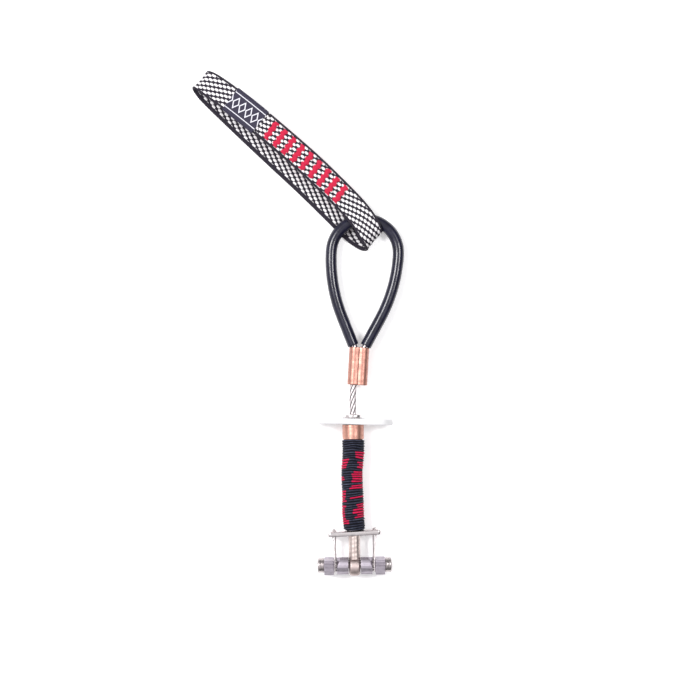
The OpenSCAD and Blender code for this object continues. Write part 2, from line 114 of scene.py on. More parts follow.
@dataclass
class Builder:
    """Turns grids of points into finished pieces.

    Attributes:
        weld: distance under which points are joined, in metres.
    """

    weld: float = 2e-7

    def grid(
        self,
        name: str,
        points: np.ndarray,
        closed: tuple[bool, bool] = (False, True),
        uv: tuple[np.ndarray, np.ndarray] | None = None,
        values: dict[str, np.ndarray] | None = None,
    ) -> bpy.types.Object:
        """Makes a quad mesh from a grid of points.

        Point (i, j) is vertex i * columns + j, and each face takes four neighbouring points.

        Args:
            name: name of the piece.
            points: array (rows, columns, 3) in millimetres.
            closed: whether the rows and the columns join up again.
            uv: the U of each row line and the V of each column line, one longer where that way is closed.
            values: point attributes, each an array (rows, columns).

        Returns:
            The piece, at the origin.
        """
        rows, cols = points.shape[:2]
        i = np.arange(rows if closed[0] else rows - 1)
        j = np.arange(cols if closed[1] else cols - 1)
        ii, jj = np.meshgrid(i, j, indexing="ij")
        corners_i = np.stack([ii, ii, ii + 1, ii + 1], -1).reshape(-1, 4)
        corners_j = np.stack([jj, jj + 1, jj + 1, jj], -1).reshape(-1, 4)
        index = (corners_i % rows) * cols + corners_j % cols
        mesh = bpy.data.meshes.new(name)
        mesh.vertices.add(rows * cols)
        mesh.vertices.foreach_set("co", (points * MM).astype(np.float32).ravel())
        mesh.loops.add(index.size)
        mesh.loops.foreach_set("vertex_index", index.astype(np.int32).ravel())
        mesh.polygons.add(len(index))
        mesh.polygons.foreach_set("loop_start", np.arange(0, index.size, 4, dtype=np.int32))
        mesh.update(calc_edges=True)
        if uv is not None:
            layer = mesh.uv_layers.new(name="surface")
            flat = np.stack([uv[0][corners_i], uv[1][corners_j]], -1)
            layer.data.foreach_set("uv", flat.astype(np.float32).ravel())
        for key, array in (values or {}).items():
            attribute = mesh.attributes.new(key, "FLOAT", "POINT")
            attribute.data.foreach_set("value", array.astype(np.float32).ravel())
        return self.finish(name, mesh)

    def finish(self, name: str, mesh: bpy.types.Mesh) -> bpy.types.Object:
        """Joins poles and seams, turns the faces outwards, smooths them and links the piece."""
        work = bmesh.new()
        work.from_mesh(mesh)
        bmesh.ops.remove_doubles(work, verts=work.verts, dist=self.weld)
        bmesh.ops.recalc_face_normals(work, faces=work.faces)
        for face in work.faces:
            face.smooth = True
        work.to_mesh(mesh)
        work.free()
        return self.linked(name, mesh)

    def linked(self, name: str, mesh: bpy.types.Mesh) -> bpy.types.Object:
        """Makes the piece that shows a mesh and puts it in the scene."""
        piece = bpy.data.objects.new(f"look_{name}", mesh)
        bpy.context.scene.collection.objects.link(piece)
        return piece

    def joined(self, name: str, pieces: Sequence[bpy.types.Object]) -> bpy.types.Object:
        """Joins several pieces into one and gives it the name."""
        work = bmesh.new()
        for piece in pieces:
            work.from_mesh(piece.data)
        mesh = bpy.data.meshes.new(name)
        work.to_mesh(mesh)
        work.free()
        for piece in pieces:
            bpy.data.objects.remove(piece)
        return self.linked(name, mesh)


BUILD = Builder()


def unit(vectors: np.ndarray) -> np.ndarray:
    """Scales vectors to length one."""
    return vectors / np.linalg.norm(vectors, axis=-1, keepdims=True)


def smooth_step(low: float, high: float, x: np.ndarray) -> np.ndarray:
    """Rises from 0 at low to 1 at high with level ends."""
    t = np.clip((x - low) / (high - low), 0, 1)
    return t * t * (3 - 2 * t)


def through(points: Sequence[Sequence[float]], steps: int) -> np.ndarray:
    """A curve through all points: each stretch is the cubic whose end slopes follow the neighbours."""
    p = np.asarray(points, float)
    padded = np.vstack([p[:1], p, p[-1:]])
    a, b, c, d = (padded[k : len(p) - 1 + k, None] for k in range(4))
    t = np.linspace(0, 1, steps, endpoint=False)[None, :, None]
    curve = 0.5 * (2 * b + (c - a) * t + (2 * a - 5 * b + 4 * c - d) * t**2 + (3 * b - a - 3 * c + d) * t**3)
    return np.vstack([curve.reshape(-1, p.shape[1]), p[-1:]])


def lengths(path: np.ndarray) -> np.ndarray:
    """Distance along a path at each of its points."""
    return np.concatenate([[0], np.cumsum(np.linalg.norm(np.diff(path, axis=0), axis=1))])


def sampled(path: np.ndarray, run: np.ndarray, at: np.ndarray) -> np.ndarray:
    """What a path, or any row of vectors given at the distances run, holds at the distances at."""
    return np.stack([np.interp(at, run, column) for column in path.T], -1)


def even(path: np.ndarray, step: float) -> np.ndarray:
    """The same path with points at equal distances of about step."""
    run = lengths(path)
    return sampled(path, run, np.linspace(0, run[-1], max(2, int(round(run[-1] / step)) + 1)))


def settled(path: np.ndarray, width: int) -> np.ndarray:
    """The same path without kinks: each point moves to the mean of width neighbours, and the ends stay."""
    window = np.hanning(width + 2)[1:-1]
    window = window / window.sum()
    padded = np.pad(path, ((width // 2, width // 2), (0, 0)), mode="reflect", reflect_type="odd")
    return np.stack([np.convolve(column, window, "valid") for column in padded.T], -1)


def frames(path: np.ndarray, lean: Sequence[float] | np.ndarray) -> tuple[np.ndarray, np.ndarray]:
    """Two directions square to the path at each point: one leaning towards `lean`, and one beside it."""
    tangent = unit(np.gradient(path, axis=0))
    lean = np.broadcast_to(np.asarray(lean, float), path.shape)
    up = unit(lean - (lean * tangent).sum(-1, keepdims=True) * tangent)
    return up, np.cross(tangent, up)


def tube_points(path: np.ndarray, radius: np.ndarray, lean: Any = (0, 0, 1)) -> np.ndarray:
    """Rings round a path: point = centre + r (cos a * up + sin a * beside), r given as (points, sides)."""
    up, beside = frames(path, lean)
    a = np.linspace(0, TURN, radius.shape[1], endpoint=False)
    out = np.cos(a)[None, :, None] * up[:, None] + np.sin(a)[None, :, None] * beside[:, None]
    return path[:, None] + radius[..., None] * out


def rounded_ends(count: int, run: np.ndarray, edge: float) -> np.ndarray:
    """A factor for a tube's radius that rounds its two ends off over the length edge, and closes them."""
    inwards = np.minimum(run, run[-1] - run)
    factor = np.sqrt(np.clip(1 - (1 - np.clip(inwards / edge, 0, 1)) ** 2, 0, 1))
    factor[[0, -1]] = 0
    return np.repeat(factor[:, None], count, 1)


def tube(
    name: str, path: np.ndarray, radius: float, sides: int = 16, edge: float = 0.1, lean: Any = (0, 0, 1)
) -> bpy.types.Object:
    """A round rod along a path, with rounded and closed ends."""
    run = lengths(path)
    ends = np.array([0, 0.15, 0.5, 1]) * edge
    at = np.unique(np.concatenate([run, ends, run[-1] - ends]))
    if np.ndim(lean) == 2:
        lean = sampled(lean, run, at)
    rings = tube_points(sampled(path, run, at), radius * rounded_ends(sides, at, edge), lean)
    return BUILD.grid(name, rings, uv=(at * ROD_UV, np.linspace(0, 1, sides + 1)))


def lathe(name: str, axis: str, profile: Profile, sides: int = 96, closed: bool = True) -> bpy.types.Object:
    """A turned piece: the profile of (distance along the axis, radius) carried round the X or Y axis."""
    p = np.asarray(profile, float)
    a = np.linspace(0, TURN, sides, endpoint=False)
    along = np.repeat(p[:, :1], sides, 1)
    first, second = p[:, 1:] * np.cos(a), p[:, 1:] * np.sin(a)
    parts = (along, first, second) if axis == "X" else (first, along, second)
    down = lengths(np.vstack([p, p[:1]]) if closed else p) * ROD_UV
    return BUILD.grid(name, np.stack(parts, -1), (closed, True), (down, np.linspace(0, 1, sides + 1)))


def quarter(edge: float, steps: int) -> Profile:
    """A quarter round from a face to the side, as pairs: distance from the face, inset from the side."""
    return [(edge * (1 - math.cos(t)), edge * (1 - math.sin(t))) for t in np.linspace(0, math.pi / 2, steps)]


def crisp(profile: Profile, edge: float = 0.12, steps: int = 4) -> Profile:
    """Rounds every corner of a closed profile with a quadratic curve that starts and ends edge from it."""
    p = np.asarray(profile, float)
    before, after = np.roll(p, 1, 0), np.roll(p, -1, 0)
    to_before, to_after = before - p, after - p
    reach_b = np.minimum(edge, np.linalg.norm(to_before, axis=1) * 0.45)[:, None]
    reach_a = np.minimum(edge, np.linalg.norm(to_after, axis=1) * 0.45)[:, None]
    start, end = p + unit(to_before) * reach_b, p + unit(to_after) * reach_a
    t = np.linspace(0, 1, steps)[None, :, None]
    arcs = (1 - t) ** 2 * start[:, None] + 2 * t * (1 - t) * p[:, None] + t**2 * end[:, None]
    return [tuple(q) for q in arcs.reshape(-1, 2)]


# ---------------------------------------------------------------- shader graphs


@dataclass
class Graph:
    """A node tree with short ways to add nodes and join sockets."""

    tree: bpy.types.NodeTree

    def feed(self, node: bpy.types.Node, inputs: dict[Any, Any]) -> None:
        """Fills a node's inputs: a socket is linked, a number or colour is set on the input itself."""
        for key, value in inputs.items():
            if isinstance(value, Socket):
                self.tree.links.new(value, node.inputs[key])
            else:
                node.inputs[key].default_value = value

    def node(self, kind: str, inputs: dict[Any, Any] | None = None, **settings: Any) -> bpy.types.Node:
        """Adds a node, sets its properties and fills its inputs with values or links."""
        made = self.tree.nodes.new(kind)
        for key, value in settings.items():
            setattr(made, key, value)
        self.feed(made, inputs or {})
        return made

    def group(self, name: str, **inputs: Any) -> Any:
        """Places a shared node group and gives its outputs."""
        return self.node("ShaderNodeGroup", inputs, node_tree=GROUPS[name]).outputs

    def math(self, operation: str, a: Any, b: Any = 0.0) -> Socket:
        """One Math node."""
        return self.node("ShaderNodeMath", {0: a, 1: b, 2: 0.0}, operation=operation).outputs[0]

    def add(self, a: Any, b: Any) -> Socket:
        """a + b."""
        return self.math("ADD", a, b)

    def sub(self, a: Any, b: Any) -> Socket:
        """a - b."""
        return self.math("SUBTRACT", a, b)

    def mul(self, a: Any, b: Any) -> Socket:
        """a * b."""
        return self.math("MULTIPLY", a, b)

    def sine(self, a: Any) -> Socket:
        """The sine of a."""
        return self.math("SINE", a)

    def near(self, a: Any, middle: float, reach: Any) -> Socket:
        """1 where a is less than reach from middle."""
        return self.math("LESS_THAN", self.math("ABSOLUTE", self.sub(a, middle) if middle else a), reach)

    def frayed(self, mask: Any, fuzz: Socket, amount: float, low: float, high: float) -> Socket:
        """A mask with a border broken up by noise: mask + (noise - 1/2) * amount, stretched."""
        return self.remap(self.add(mask, self.mul(self.sub(fuzz, 0.5), amount)), low, high)

    def remap(self, value: Any, low: float, high: float, to_low: float = 0.0, to_high: float = 1.0) -> Socket:
        """Stretches a value from one range to another, held at its ends."""
        inputs = {"Value": value, "From Min": low, "From Max": high, "To Min": to_low, "To Max": to_high}
        return self.node("ShaderNodeMapRange", inputs).outputs["Result"]

    def mix(self, factor: Any, a: Any, b: Any) -> Socket:
        """Mixes two colours."""
        a, b = (colour if isinstance(colour, Socket) else (*colour, 1) for colour in (a, b))
        return self.node("ShaderNodeMix", {0: factor, 6: a, 7: b}, data_type="RGBA").outputs[2]

    def noise(self, vector: Any, scale: float, detail: float = 3.0, rough: float = 0.5) -> Socket:
        """Noise from 0 to 1 on a vector."""
        inputs = {"Vector": vector, "Scale": scale, "Detail": detail, "Roughness": rough}
        return self.node("ShaderNodeTexNoise", inputs).outputs["Fac"]

    def place(self, scale: Sequence[float] = (1, 1, 1)) -> Socket:
        """Object coordinates, stretched."""
        where = self.node("ShaderNodeTexCoord").outputs["Object"]
        return self.node("ShaderNodeMapping", {"Vector": where, "Scale": tuple(scale)}).outputs[0]

    def surface(self) -> tuple[Socket, Socket]:
        """The piece's own U and V."""
        uv = self.node("ShaderNodeUVMap", uv_map="surface").outputs[0]
        parts = self.node("ShaderNodeSeparateXYZ", {0: uv})
        return parts.outputs[0], parts.outputs[1]

    def value(self, name: str) -> Socket:
        """A point attribute of the piece."""
        return self.node("ShaderNodeAttribute", attribute_name=name).outputs["Fac"]


def new_group(name: str, inputs: dict[str, float | None], outputs: Sequence[str]) -> tuple[Graph, dict, Any]:
    """Starts a shader node group.

    Args:
        name: name of the group.
        inputs: each input's default, or None for a vector.
        outputs: names of the float outputs.

    Returns:
        The graph, the sockets that bring the inputs, and the node that the outputs are fed to.
    """
    tree = bpy.data.node_groups.new(name, "ShaderNodeTree")
    for key, default in inputs.items():
        kind = "NodeSocketVector" if default is None else "NodeSocketFloat"
        made = tree.interface.new_socket(key, in_out="INPUT", socket_type=kind)
        if default is not None:
            made.default_value = default
    for key in outputs:
        tree.interface.new_socket(key, in_out="OUTPUT", socket_type="NodeSocketFloat")
    graph = Graph(tree)
    into = graph.node("NodeGroupInput")
    return graph, {key: into.outputs[key] for key in inputs}, graph.node("NodeGroupOutput")


def handling_group() -> bpy.types.NodeTree:
    """Wear from handling: soft smudges, fine scratches and small dents."""
    g, into, out = new_group("handling", {"Place": None, "Size": 400.0}, ("Smudge", "Scratch", "Dent"))
    inputs = {0: into["Place"], "Scale": into["Size"]}
    where = g.node("ShaderNodeVectorMath", inputs, operation="SCALE").outputs[0]
    cells = g.node("ShaderNodeTexVoronoi", {"Vector": where, "Scale": 3.0}, feature="DISTANCE_TO_EDGE")
    lines = g.remap(cells.outputs["Distance"], 0.0, 0.025, 1, 0)
    scratch = g.mul(lines, g.remap(g.noise(where, 0.7, 2.0), 0.5, 0.65))
    smudge = g.remap(g.noise(where, 1.0, 4.0, 0.6), 0.3, 0.7)
    g.feed(out, {"Smudge": smudge, "Scratch": scratch, "Dent": g.noise(where, 0.35, 1.0)})
    return g.tree


def turning_group() -> bpy.types.NodeTree:
    """Fine rings left by a lathe or a die, across one direction, uneven in depth."""
    g, into, out = new_group("turning", {"Along": 0.0, "Rings": 3000.0}, ("Height", "Tone"))
    line = g.mul(into["Along"], into["Rings"])
    fine, slow = (
        g.node("ShaderNodeTexNoise", {"W": line, "Scale": scale, "Detail": detail}, noise_dimensions="1D")
        for scale, detail in ((1.0, 4.0), (0.17, 1.0))
    )
    tone = g.remap(g.add(fine.outputs["Fac"], slow.outputs["Fac"]), 0.7, 1.3)
    g.feed(out, {"Height": fine.outputs["Fac"], "Tone": tone})
    return g.tree


@dataclass(frozen=True)
class Lattice:
    """How the sling's pale floats repeat: each is a whole number of chain and row steps from another.

    A point belongs to a float where |du / half_long|^power + |dv / half_wide|^power is under 1, du and dv
    counted along and across the tape from the float's middle.

    Attributes:
        chain, row: the two steps, each (along, across).
        half_long, half_wide: half a float's length and width.
        power: how square a float's corners are.
        threads: turn of the thread pattern per millimetre across, in radians.
    """

    chain: tuple[float, float] = (1.80, -0.80)
    row: tuple[float, float] = (1.52, 1.60)
    half_long: float = 0.96
    half_wide: float = 0.58
    power: float = 2.4
    threads: float = 21.0

    def factors(self) -> tuple[float, float, float, float]:
        """The numbers that turn (along, across) into (chain steps, row steps)."""
        det = self.chain[0] * self.row[1] - self.chain[1] * self.row[0]
        return self.row[1] / det, -self.row[0] / det, -self.chain[1] / det, self.chain[0] / det

    def far(self, along: np.ndarray, across: np.ndarray) -> np.ndarray:
        """The left side of the float's inequality at each point."""
        k = self.factors()
        p, q = along * k[0] + across * k[1], along * k[2] + across * k[3]
        p, q = p - np.floor(p) - 0.5, q - np.floor(q) - 0.5
        du = p * self.chain[0] + q * self.row[0]
        dv = p * self.chain[1] + q * self.row[1]
        return np.abs(du / self.half_long) ** self.power + np.abs(dv / self.half_wide) ** self.power


LATTICE = Lattice()


def weave_group() -> bpy.types.NodeTree:
    """The floats of `Lattice`: where they are, their height, their threads and a random number for each."""
    outputs = ("Float", "Height", "Thread", "Chance")
    g, into, out = new_group("weave", {"Along": 0.0, "Across": 0.0}, outputs)

    def both(a: Any, ka: float, b: Any, kb: float) -> Socket:
        """a * ka + b * kb."""
        return g.add(g.mul(a, ka), g.mul(b, kb))

    def power(d: Socket, half: float) -> Socket:
        """|d / half|^power."""
        return g.math("POWER", g.math("ABSOLUTE", g.math("DIVIDE", d, half)), LATTICE.power)

    k = LATTICE.factors()
    p, q = (both(into["Along"], k[i], into["Across"], k[i + 1]) for i in (0, 2))
    near_p, near_q = (g.sub(g.math("FRACT", c), 0.5) for c in (p, q))
    du, dv = (both(near_p, LATTICE.chain[i], near_q, LATTICE.row[i]) for i in (0, 1))
    far = g.add(power(du, LATTICE.half_long), power(dv, LATTICE.half_wide))
    thread = g.sine(g.mul(g.add(dv, g.mul(du, 0.15)), LATTICE.threads))
    cell = g.node("ShaderNodeCombineXYZ", {0: g.math("FLOOR", p), 1: g.math("FLOOR", q)})
    chance = g.node("ShaderNodeTexWhiteNoise", {"Vector": cell.outputs[0]}, noise_dimensions="2D")
    inside, height = g.remap(far, 0.8, 1.15, 1, 0), g.remap(far, 0.0, 1.2, 1, 0)
    g.feed(out, {"Float": inside, "Height": height, "Thread": thread, "Chance": chance.outputs["Value"]})
    return g.tree


GROUPS = {"handling": handling_group(), "turning": turning_group(), "weave": weave_group()}


def times(colour: Colour, factor: float) -> Colour:
    """A colour made lighter or darker, at most 1."""
    return tuple(min(1.0, c * factor) for c in colour)


@dataclass(frozen=True)
class Finish:
    """What every finish shares: a name and a way to become a material."""

    name: str

    def start(self) -> tuple[bpy.types.Material, Graph, bpy.types.Node]:
        """Makes the material with its Principled BSDF."""
        material = bpy.data.materials.new(self.name)
        material.use_nodes = True
        return material, Graph(material.node_tree), material.node_tree.nodes["Principled BSDF"]

    def bump(self, g: Graph, shader: bpy.types.Node, height: Socket, depth: float) -> None:
        """Feeds a height into the shader's normal; depth is in metres."""
        made = g.node("ShaderNodeBump", {"Height": height, "Distance": depth, "Strength": 1.0})
        g.feed(shader, {"Normal": made.outputs[0]})


@dataclass(frozen=True)
class Metal(Finish):
    """Bare or plated metal with tool marks, smudges and fine scratches, and where asked painted shade in its
    hollows.

    Attributes:
        colour: colour of the metal.
        shade: colour in its smudges and dull spots.
        rough: roughness where clean and where smudged.
        rings: tool marks per metre, across `ring_axis`.
        ring_axis: 0, 1 or 2 for X, Y or Z.
        depth: depth of the tool marks in metres.
        dent: depth of slow dents in metres.
        size: smudges per metre.
        hollow: whether the point attribute `crown` paints shade into the hollows, between a cable's strands
            and in a swage's valley.
    """

    colour: Colour = (0.7, 0.7, 0.7)
    shade: Colour = (0.5, 0.5, 0.5)
    rough: tuple[float, float] = (0.2, 0.4)
    rings: float = 3000.0
    ring_axis: int = 1
    depth: float = 0.00001
    dent: float = 0.0
    size: float = 500.0
    hollow: bool = False

    def make(self) -> bpy.types.Material:
        """Builds the material."""
        material, g, shader = self.start()
        where = g.place()
        parts = g.node("ShaderNodeSeparateXYZ", {0: where})
        turned = g.group("turning", Along=parts.outputs[self.ring_axis], Rings=self.rings)
        worn = g.group("handling", Place=where, Size=self.size)
        dull = g.mul(worn["Smudge"], g.remap(turned["Tone"], 0, 1, 0.55, 1))
        colour = g.mix(dull, self.colour, self.shade)
        colour = g.mix(g.mul(worn["Scratch"], 0.5), colour, times(self.colour, 1.4))
        if self.hollow:
            # Painted shade: the hollows where `crown` is low are darkened to a tenth of the colour
            colour = g.mix(g.remap(g.value("crown"), 0.22, 0.62), times(self.colour, 0.1), colour)
        rough = g.sub(g.remap(dull, 0, 1, *self.rough), g.mul(worn["Scratch"], 0.08))
        g.feed(shader, {"Base Color": colour, "Roughness": rough, "Metallic": 1.0})
        height = turned["Height"]
        if self.dent:
            height = g.add(height, g.mul(worn["Dent"], self.dent / self.depth))
        self.bump(g, shader, height, self.depth)
        return material


@dataclass(frozen=True)
class PowderCoat(Finish):
    """White stoved paint with a fine orange-peel skin and grey rubs.

    Attributes:
        colour: colour of the paint.
        rub: colour of the rubbed marks.
    """

    colour: Colour = (0.74, 0.74, 0.75)
    rub: Colour = (0.42, 0.42, 0.43)

    def make(self) -> bpy.types.Material:
        """Builds the material."""
        material, g, shader = self.start()
        where = g.place()
        worn = g.group("handling", Place=where, Size=230.0)
        rubbed = g.mul(g.remap(g.noise(where, 900, 5, 0.7), 0.6, 0.72), g.remap(worn["Smudge"], 0.5, 1))
        marks = g.math("MAXIMUM", g.mul(rubbed, 0.55), g.mul(worn["Scratch"], 0.3))
        colour, rough = g.mix(marks, self.colour, self.rub), g.remap(worn["Smudge"], 0, 1, 0.3, 0.48)
        g.feed(shader, {"Base Color": colour, "Roughness": rough})
        g.feed(shader, {"Coat Weight": 0.25, "Coat Roughness": 0.15})
        self.bump(g, shader, g.noise(where, 2600, 2), 0.00002)
        return material


@dataclass(frozen=True)
class Plastic(Finish):
    """Extruded plastic with faint lines along its length and handling marks.

    Attributes:
        colour: colour of the plastic.
        rough: roughness where clean and where rubbed.
    """

    colour: Colour = (0.006, 0.006, 0.016)
    rough: tuple[float, float] = (0.18, 0.26)

    def make(self) -> bpy.types.Material:
        """Builds the material."""
        material, g, shader = self.start()
        where = g.place()
        worn = g.group("handling", Place=where, Size=260.0)
        down, around = g.surface()
        drawn = g.node("ShaderNodeCombineXYZ", {0: g.mul(around, 60.0), 1: g.mul(down, 3.0)})
        colour = g.mix(worn["Smudge"], self.colour, times(self.colour, 2.0))
        rough = g.add(g.remap(worn["Smudge"], 0, 1, *self.rough), g.mul(worn["Scratch"], 0.03))
        g.feed(shader, {"Base Color": colour, "Roughness": rough})
        height = g.add(g.mul(g.noise(drawn.outputs[0], 1.0), 0.3), g.noise(where, 260, 2))
        self.bump(g, shader, height, 0.000002)
        return material


@dataclass(frozen=True)
class SheathCloth(Finish):
    """Ribbed tubular weave: dark picks with red ones where the point attribute `red` says so, a painted
    highlight on the ribs' crowns and painted shade in the grooves between them.

    Attributes:
        dark: colour of the plain picks.
        crown_highlight: painted highlight colour on the ribs' crowns.
        red: colour of the red picks.
    """

    dark: Colour = (0.007, 0.008, 0.020)
    # Painted highlight colour for the ribs' crowns
    crown_highlight: Colour = (0.15, 0.17, 0.25)
    red: Colour = (0.86, 0.014, 0.10)

    def make(self) -> bpy.types.Material:
        """Builds the material."""
        material, g, shader = self.start()
        crown, where = g.value("crown"), g.place()
        fuzz, patch = g.noise(where, 2400, 5, 0.7), g.noise(where, 420)
        # Painted highlight: the ribs' crowns take the lighter colour where the fuzz allows
        lit = g.mul(g.remap(crown, 0.45, 1.0), g.remap(fuzz, 0.3, 0.75))
        plain = g.mix(g.mul(lit, g.remap(patch, 0.3, 0.7, 0.35, 1.0)), self.dark, self.crown_highlight)
        tinted = g.mix(g.remap(fuzz, 0.3, 0.7), self.red, times(self.red, 0.55))
        dyed = g.mix(g.frayed(g.value("red"), fuzz, 0.7, 0.42, 0.58), plain, tinted)
        # Painted shade: the grooves between the ribs fall to a quarter of the dark colour
        colour = g.mix(g.frayed(crown, fuzz, 0.3, 0.1, 0.6), times(self.dark, 0.25), dyed)
        g.feed(shader, {"Base Color": colour, "Roughness": g.remap(fuzz, 0, 1, 0.62, 0.9)})
        g.feed(shader, {"Specular IOR Level": 0.2, "Sheen Weight": 0.05, "Sheen Roughness": 0.4})
        fibre = g.noise(g.place((1, 3.2, 1)), 3800, 4, 0.7)
        self.bump(g, shader, g.add(fibre, g.mul(fuzz, 0.6)), 0.00009)
        return material


@dataclass(frozen=True)
class TapeCloth(Finish):
    """Flat woven tape: pale floats on a black ground, with ribbed black edges.

    U is the distance along the tape and V across it, both in centimetres; the inner face's V is raised by
    `Webbing.inner_face`, which is in millimetres.

    Attributes:
        pale: colour of the floats.
        dark: colour of the ground and the edges.
    """

    pale: Colour = (0.93, 0.91, 0.93)
    dark: Colour = (0.011, 0.009, 0.015)

    def make(self) -> bpy.types.Material:
        """Builds the material."""
        material, g, shader = self.start()
        along, raised = (g.mul(c, CM) for c in g.surface())
        inner = g.math("GREATER_THAN", raised, Webbing.inner_face / 2)
        across = g.sub(raised, g.mul(inner, Webbing.inner_face))
        woven = g.group("weave", Along=along, Across=across)
        zone = g.near(across, 0.0, g.remap(inner, 0, 1, Webbing.pale_outer, Webbing.pale_inner))
        fuzz = g.noise(g.place(), 3000, 4, 0.7)
        # Painted shade between the threads of each float, times a random tone for each float
        tone = g.mul(g.remap(woven["Thread"], -1, 1, 0.75, 1.0), g.remap(woven["Chance"], 0, 1, 0.86, 1.0))
        light = g.mix(tone, times(self.pale, 0.55), self.pale)
        ground = g.mix(g.remap(fuzz, 0.35, 0.75), self.dark, times(self.dark, 3.0))
        colour = g.mix(g.frayed(g.mul(woven["Float"], zone), fuzz, 0.5, 0.35, 0.65), ground, light)
        g.feed(shader, {"Base Color": colour, "Roughness": g.remap(fuzz, 0, 1, 0.6, 0.85)})
        g.feed(shader, {"Sheen Weight": 0.06, "Specular IOR Level": 0.25, "Sheen Roughness": 0.45})
        height = g.add(g.mul(woven["Height"], 0.8), g.mul(fuzz, 0.5))
        self.bump(g, shader, g.add(height, g.mul(woven["Thread"], 0.12)), 0.00012)
        return material


@dataclass(frozen=True)
class LabelCloth(Finish):
    """Fine navy tape with a row of pale diamonds in outline, on its upper face only.

    Lengths are in millimetres; U and V are the distances along and across it in centimetres.

    Attributes:
        ground: colour of the tape.
        thread: colour of the diamonds.
        pitch: distance between diamonds along the tape.
        slope: how much a diamond narrows along the tape for each millimetre across it.
        diamond: half a diamond's length.
        stroke: half the width of its outline.
        reach: where the diamonds stop, from the tape's middle.
        line_at, line: place and half the width of the lines beside them.
        warp, weft: turn of the fine weave per millimetre along and across, in radians.
    """

    ground: Colour = (0.011, 0.009, 0.025)
    thread: Colour = (0.80, 0.80, 0.86)
    pitch: float = 3.6
    slope: float = 0.55
    diamond: float = 1.45
    stroke: float = 0.27
    reach: float = 3.4
    line_at: float = 4.1
    line: float = 0.2
    warp: float = 21.0
    weft: float = 17.0

    def make(self) -> bpy.types.Material:
        """Builds the material."""
        material, g, shader = self.start()
        along, across = (g.mul(c, CM) for c in g.surface())
        aside = g.math("ABSOLUTE", across)
        from_middle = g.sub(g.math("FRACT", g.math("DIVIDE", along, self.pitch)), 0.5)
        far = g.add(g.math("ABSOLUTE", g.mul(from_middle, self.pitch)), g.mul(aside, self.slope))
        drawn = g.mul(g.near(far, self.diamond, self.stroke), g.near(across, 0.0, self.reach))
        motif = g.math("MAXIMUM", drawn, g.near(aside, self.line_at, self.line))
        fuzz = g.noise(g.place(), 4200, 3, 0.7)
        fine = g.mul(g.sine(g.mul(along, self.warp)), g.sine(g.mul(across, self.weft)))
        ground = g.mix(g.remap(fine, -1, 1, 0, 1), self.ground, times(self.ground, 2.4))
        colour = g.mix(g.frayed(motif, fuzz, 0.6, 0.4, 0.6), ground, self.thread)
        g.feed(shader, {"Base Color": colour, "Roughness": g.remap(fuzz, 0, 1, 0.5, 0.75)})
        height = g.add(g.mul(fine, 0.4), g.add(g.mul(motif, 0.7), fuzz))
        self.bump(g, shader, height, 0.00005)
        return material


@dataclass(frozen=True)
class Thread(Finish):
    """Twisted sewing thread, with painted shade in the grooves of its twist.
    """

    colour: Colour = (0.95, 0.018, 0.09)

    def make(self) -> bpy.types.Material:
        """Builds the material."""
        material, g, shader = self.start()
        along, around = g.surface()
        twist = g.sine(g.mul(g.add(g.mul(along, 20.0), around), 2 * TURN))
        fuzz = g.noise(g.place(), 3500, 4, 0.7)
        # Painted shade: the colour falls to 0.4 in the grooves of the twist; the fuzz adds an uneven tone
        tone = g.mul(g.remap(twist, -1, 1, 0.4, 1), g.remap(fuzz, 0.2, 0.8, 0.6, 1))
        colour = g.mix(tone, times(self.colour, 0.4), self.colour)
        g.feed(shader, {"Base Color": colour, "Roughness": g.remap(fuzz, 0, 1, 0.45, 0.7)})
        self.bump(g, shader, g.add(twist, fuzz), 0.00004)
        return material


@dataclass
class Finishes:
    """All finishes of the device, made once."""

    lobe: Metal = Metal(
        "lobe_alloy", (0.54, 0.495, 0.555), (0.37, 0.335, 0.385), (0.42, 0.56), 5200, depth=0.00002, size=420
    )
    dark_steel: Metal = Metal(
        "dark_steel", (0.60, 0.55, 0.55), (0.34, 0.31, 0.31), (0.26, 0.42), 4200, ring_axis=0, depth=0.00002
    )
    nickel: Metal = Metal(
        "brazed_nickel", (0.62, 0.52, 0.5), (0.38, 0.31, 0.3), (0.46, 0.6), 1500, depth=0.00002, dent=0.00003
    )
    bright_steel: Metal = Metal(
        "bright_steel", (0.90, 0.86, 0.86), (0.60, 0.55, 0.55), (0.18, 0.36), 2500, dent=0.00005
    )
    tube_steel: Metal = Metal(
        "tube_steel", (0.74, 0.64, 0.60), (0.46, 0.37, 0.35), (0.34, 0.5), 2500, dent=0.00001
    )
    wire: Metal = Metal("drawn_wire", (0.80, 0.76, 0.75), (0.52, 0.48, 0.48), (0.24, 0.4), 900, ring_axis=2)
    spring: Metal = Metal("spring_wire", (0.34, 0.33, 0.34), (0.2, 0.19, 0.2), (0.26, 0.4), 2000, ring_axis=0)
    # The cable and the copper paint shade into their hollows, marked by the point attribute `crown`
    cable: Metal = Metal("cable_wire", (0.74, 0.69, 0.70), (0.52, 0.47, 0.48), (0.36, 0.5), 1600, hollow=True)
    copper: Metal = Metal(
        "copper", (0.56, 0.295, 0.235), (0.36, 0.165, 0.135), (0.40, 0.54), 1800, hollow=True
    )
    turned_copper: Metal = Metal(
        "turned_copper", (0.66, 0.36, 0.285), (0.44, 0.22, 0.175), (0.38, 0.52), 3600, depth=0.00003
    )
    paint: PowderCoat = PowderCoat("white_coat")
    sleeve: Plastic = Plastic("sleeve_plastic")
    liner: Plastic = Plastic("liner_plastic", (0.03, 0.03, 0.034), (0.4, 0.55))
    sheath: SheathCloth = SheathCloth("sheath_cloth")
    tape: TapeCloth = TapeCloth("sling_tape")
    label: LabelCloth = LabelCloth("label_tape")
    thread: Thread = Thread("tack_thread")
    made: dict[str, bpy.types.Material] = field(default_factory=dict)

    def get(self, name: str) -> bpy.types.Material:
        """The material of the named finish, made when first asked for."""
        if name not in self.made:
            self.made[name] = getattr(self, name).make()
        return self.made[name]


FINISHES = Finishes()


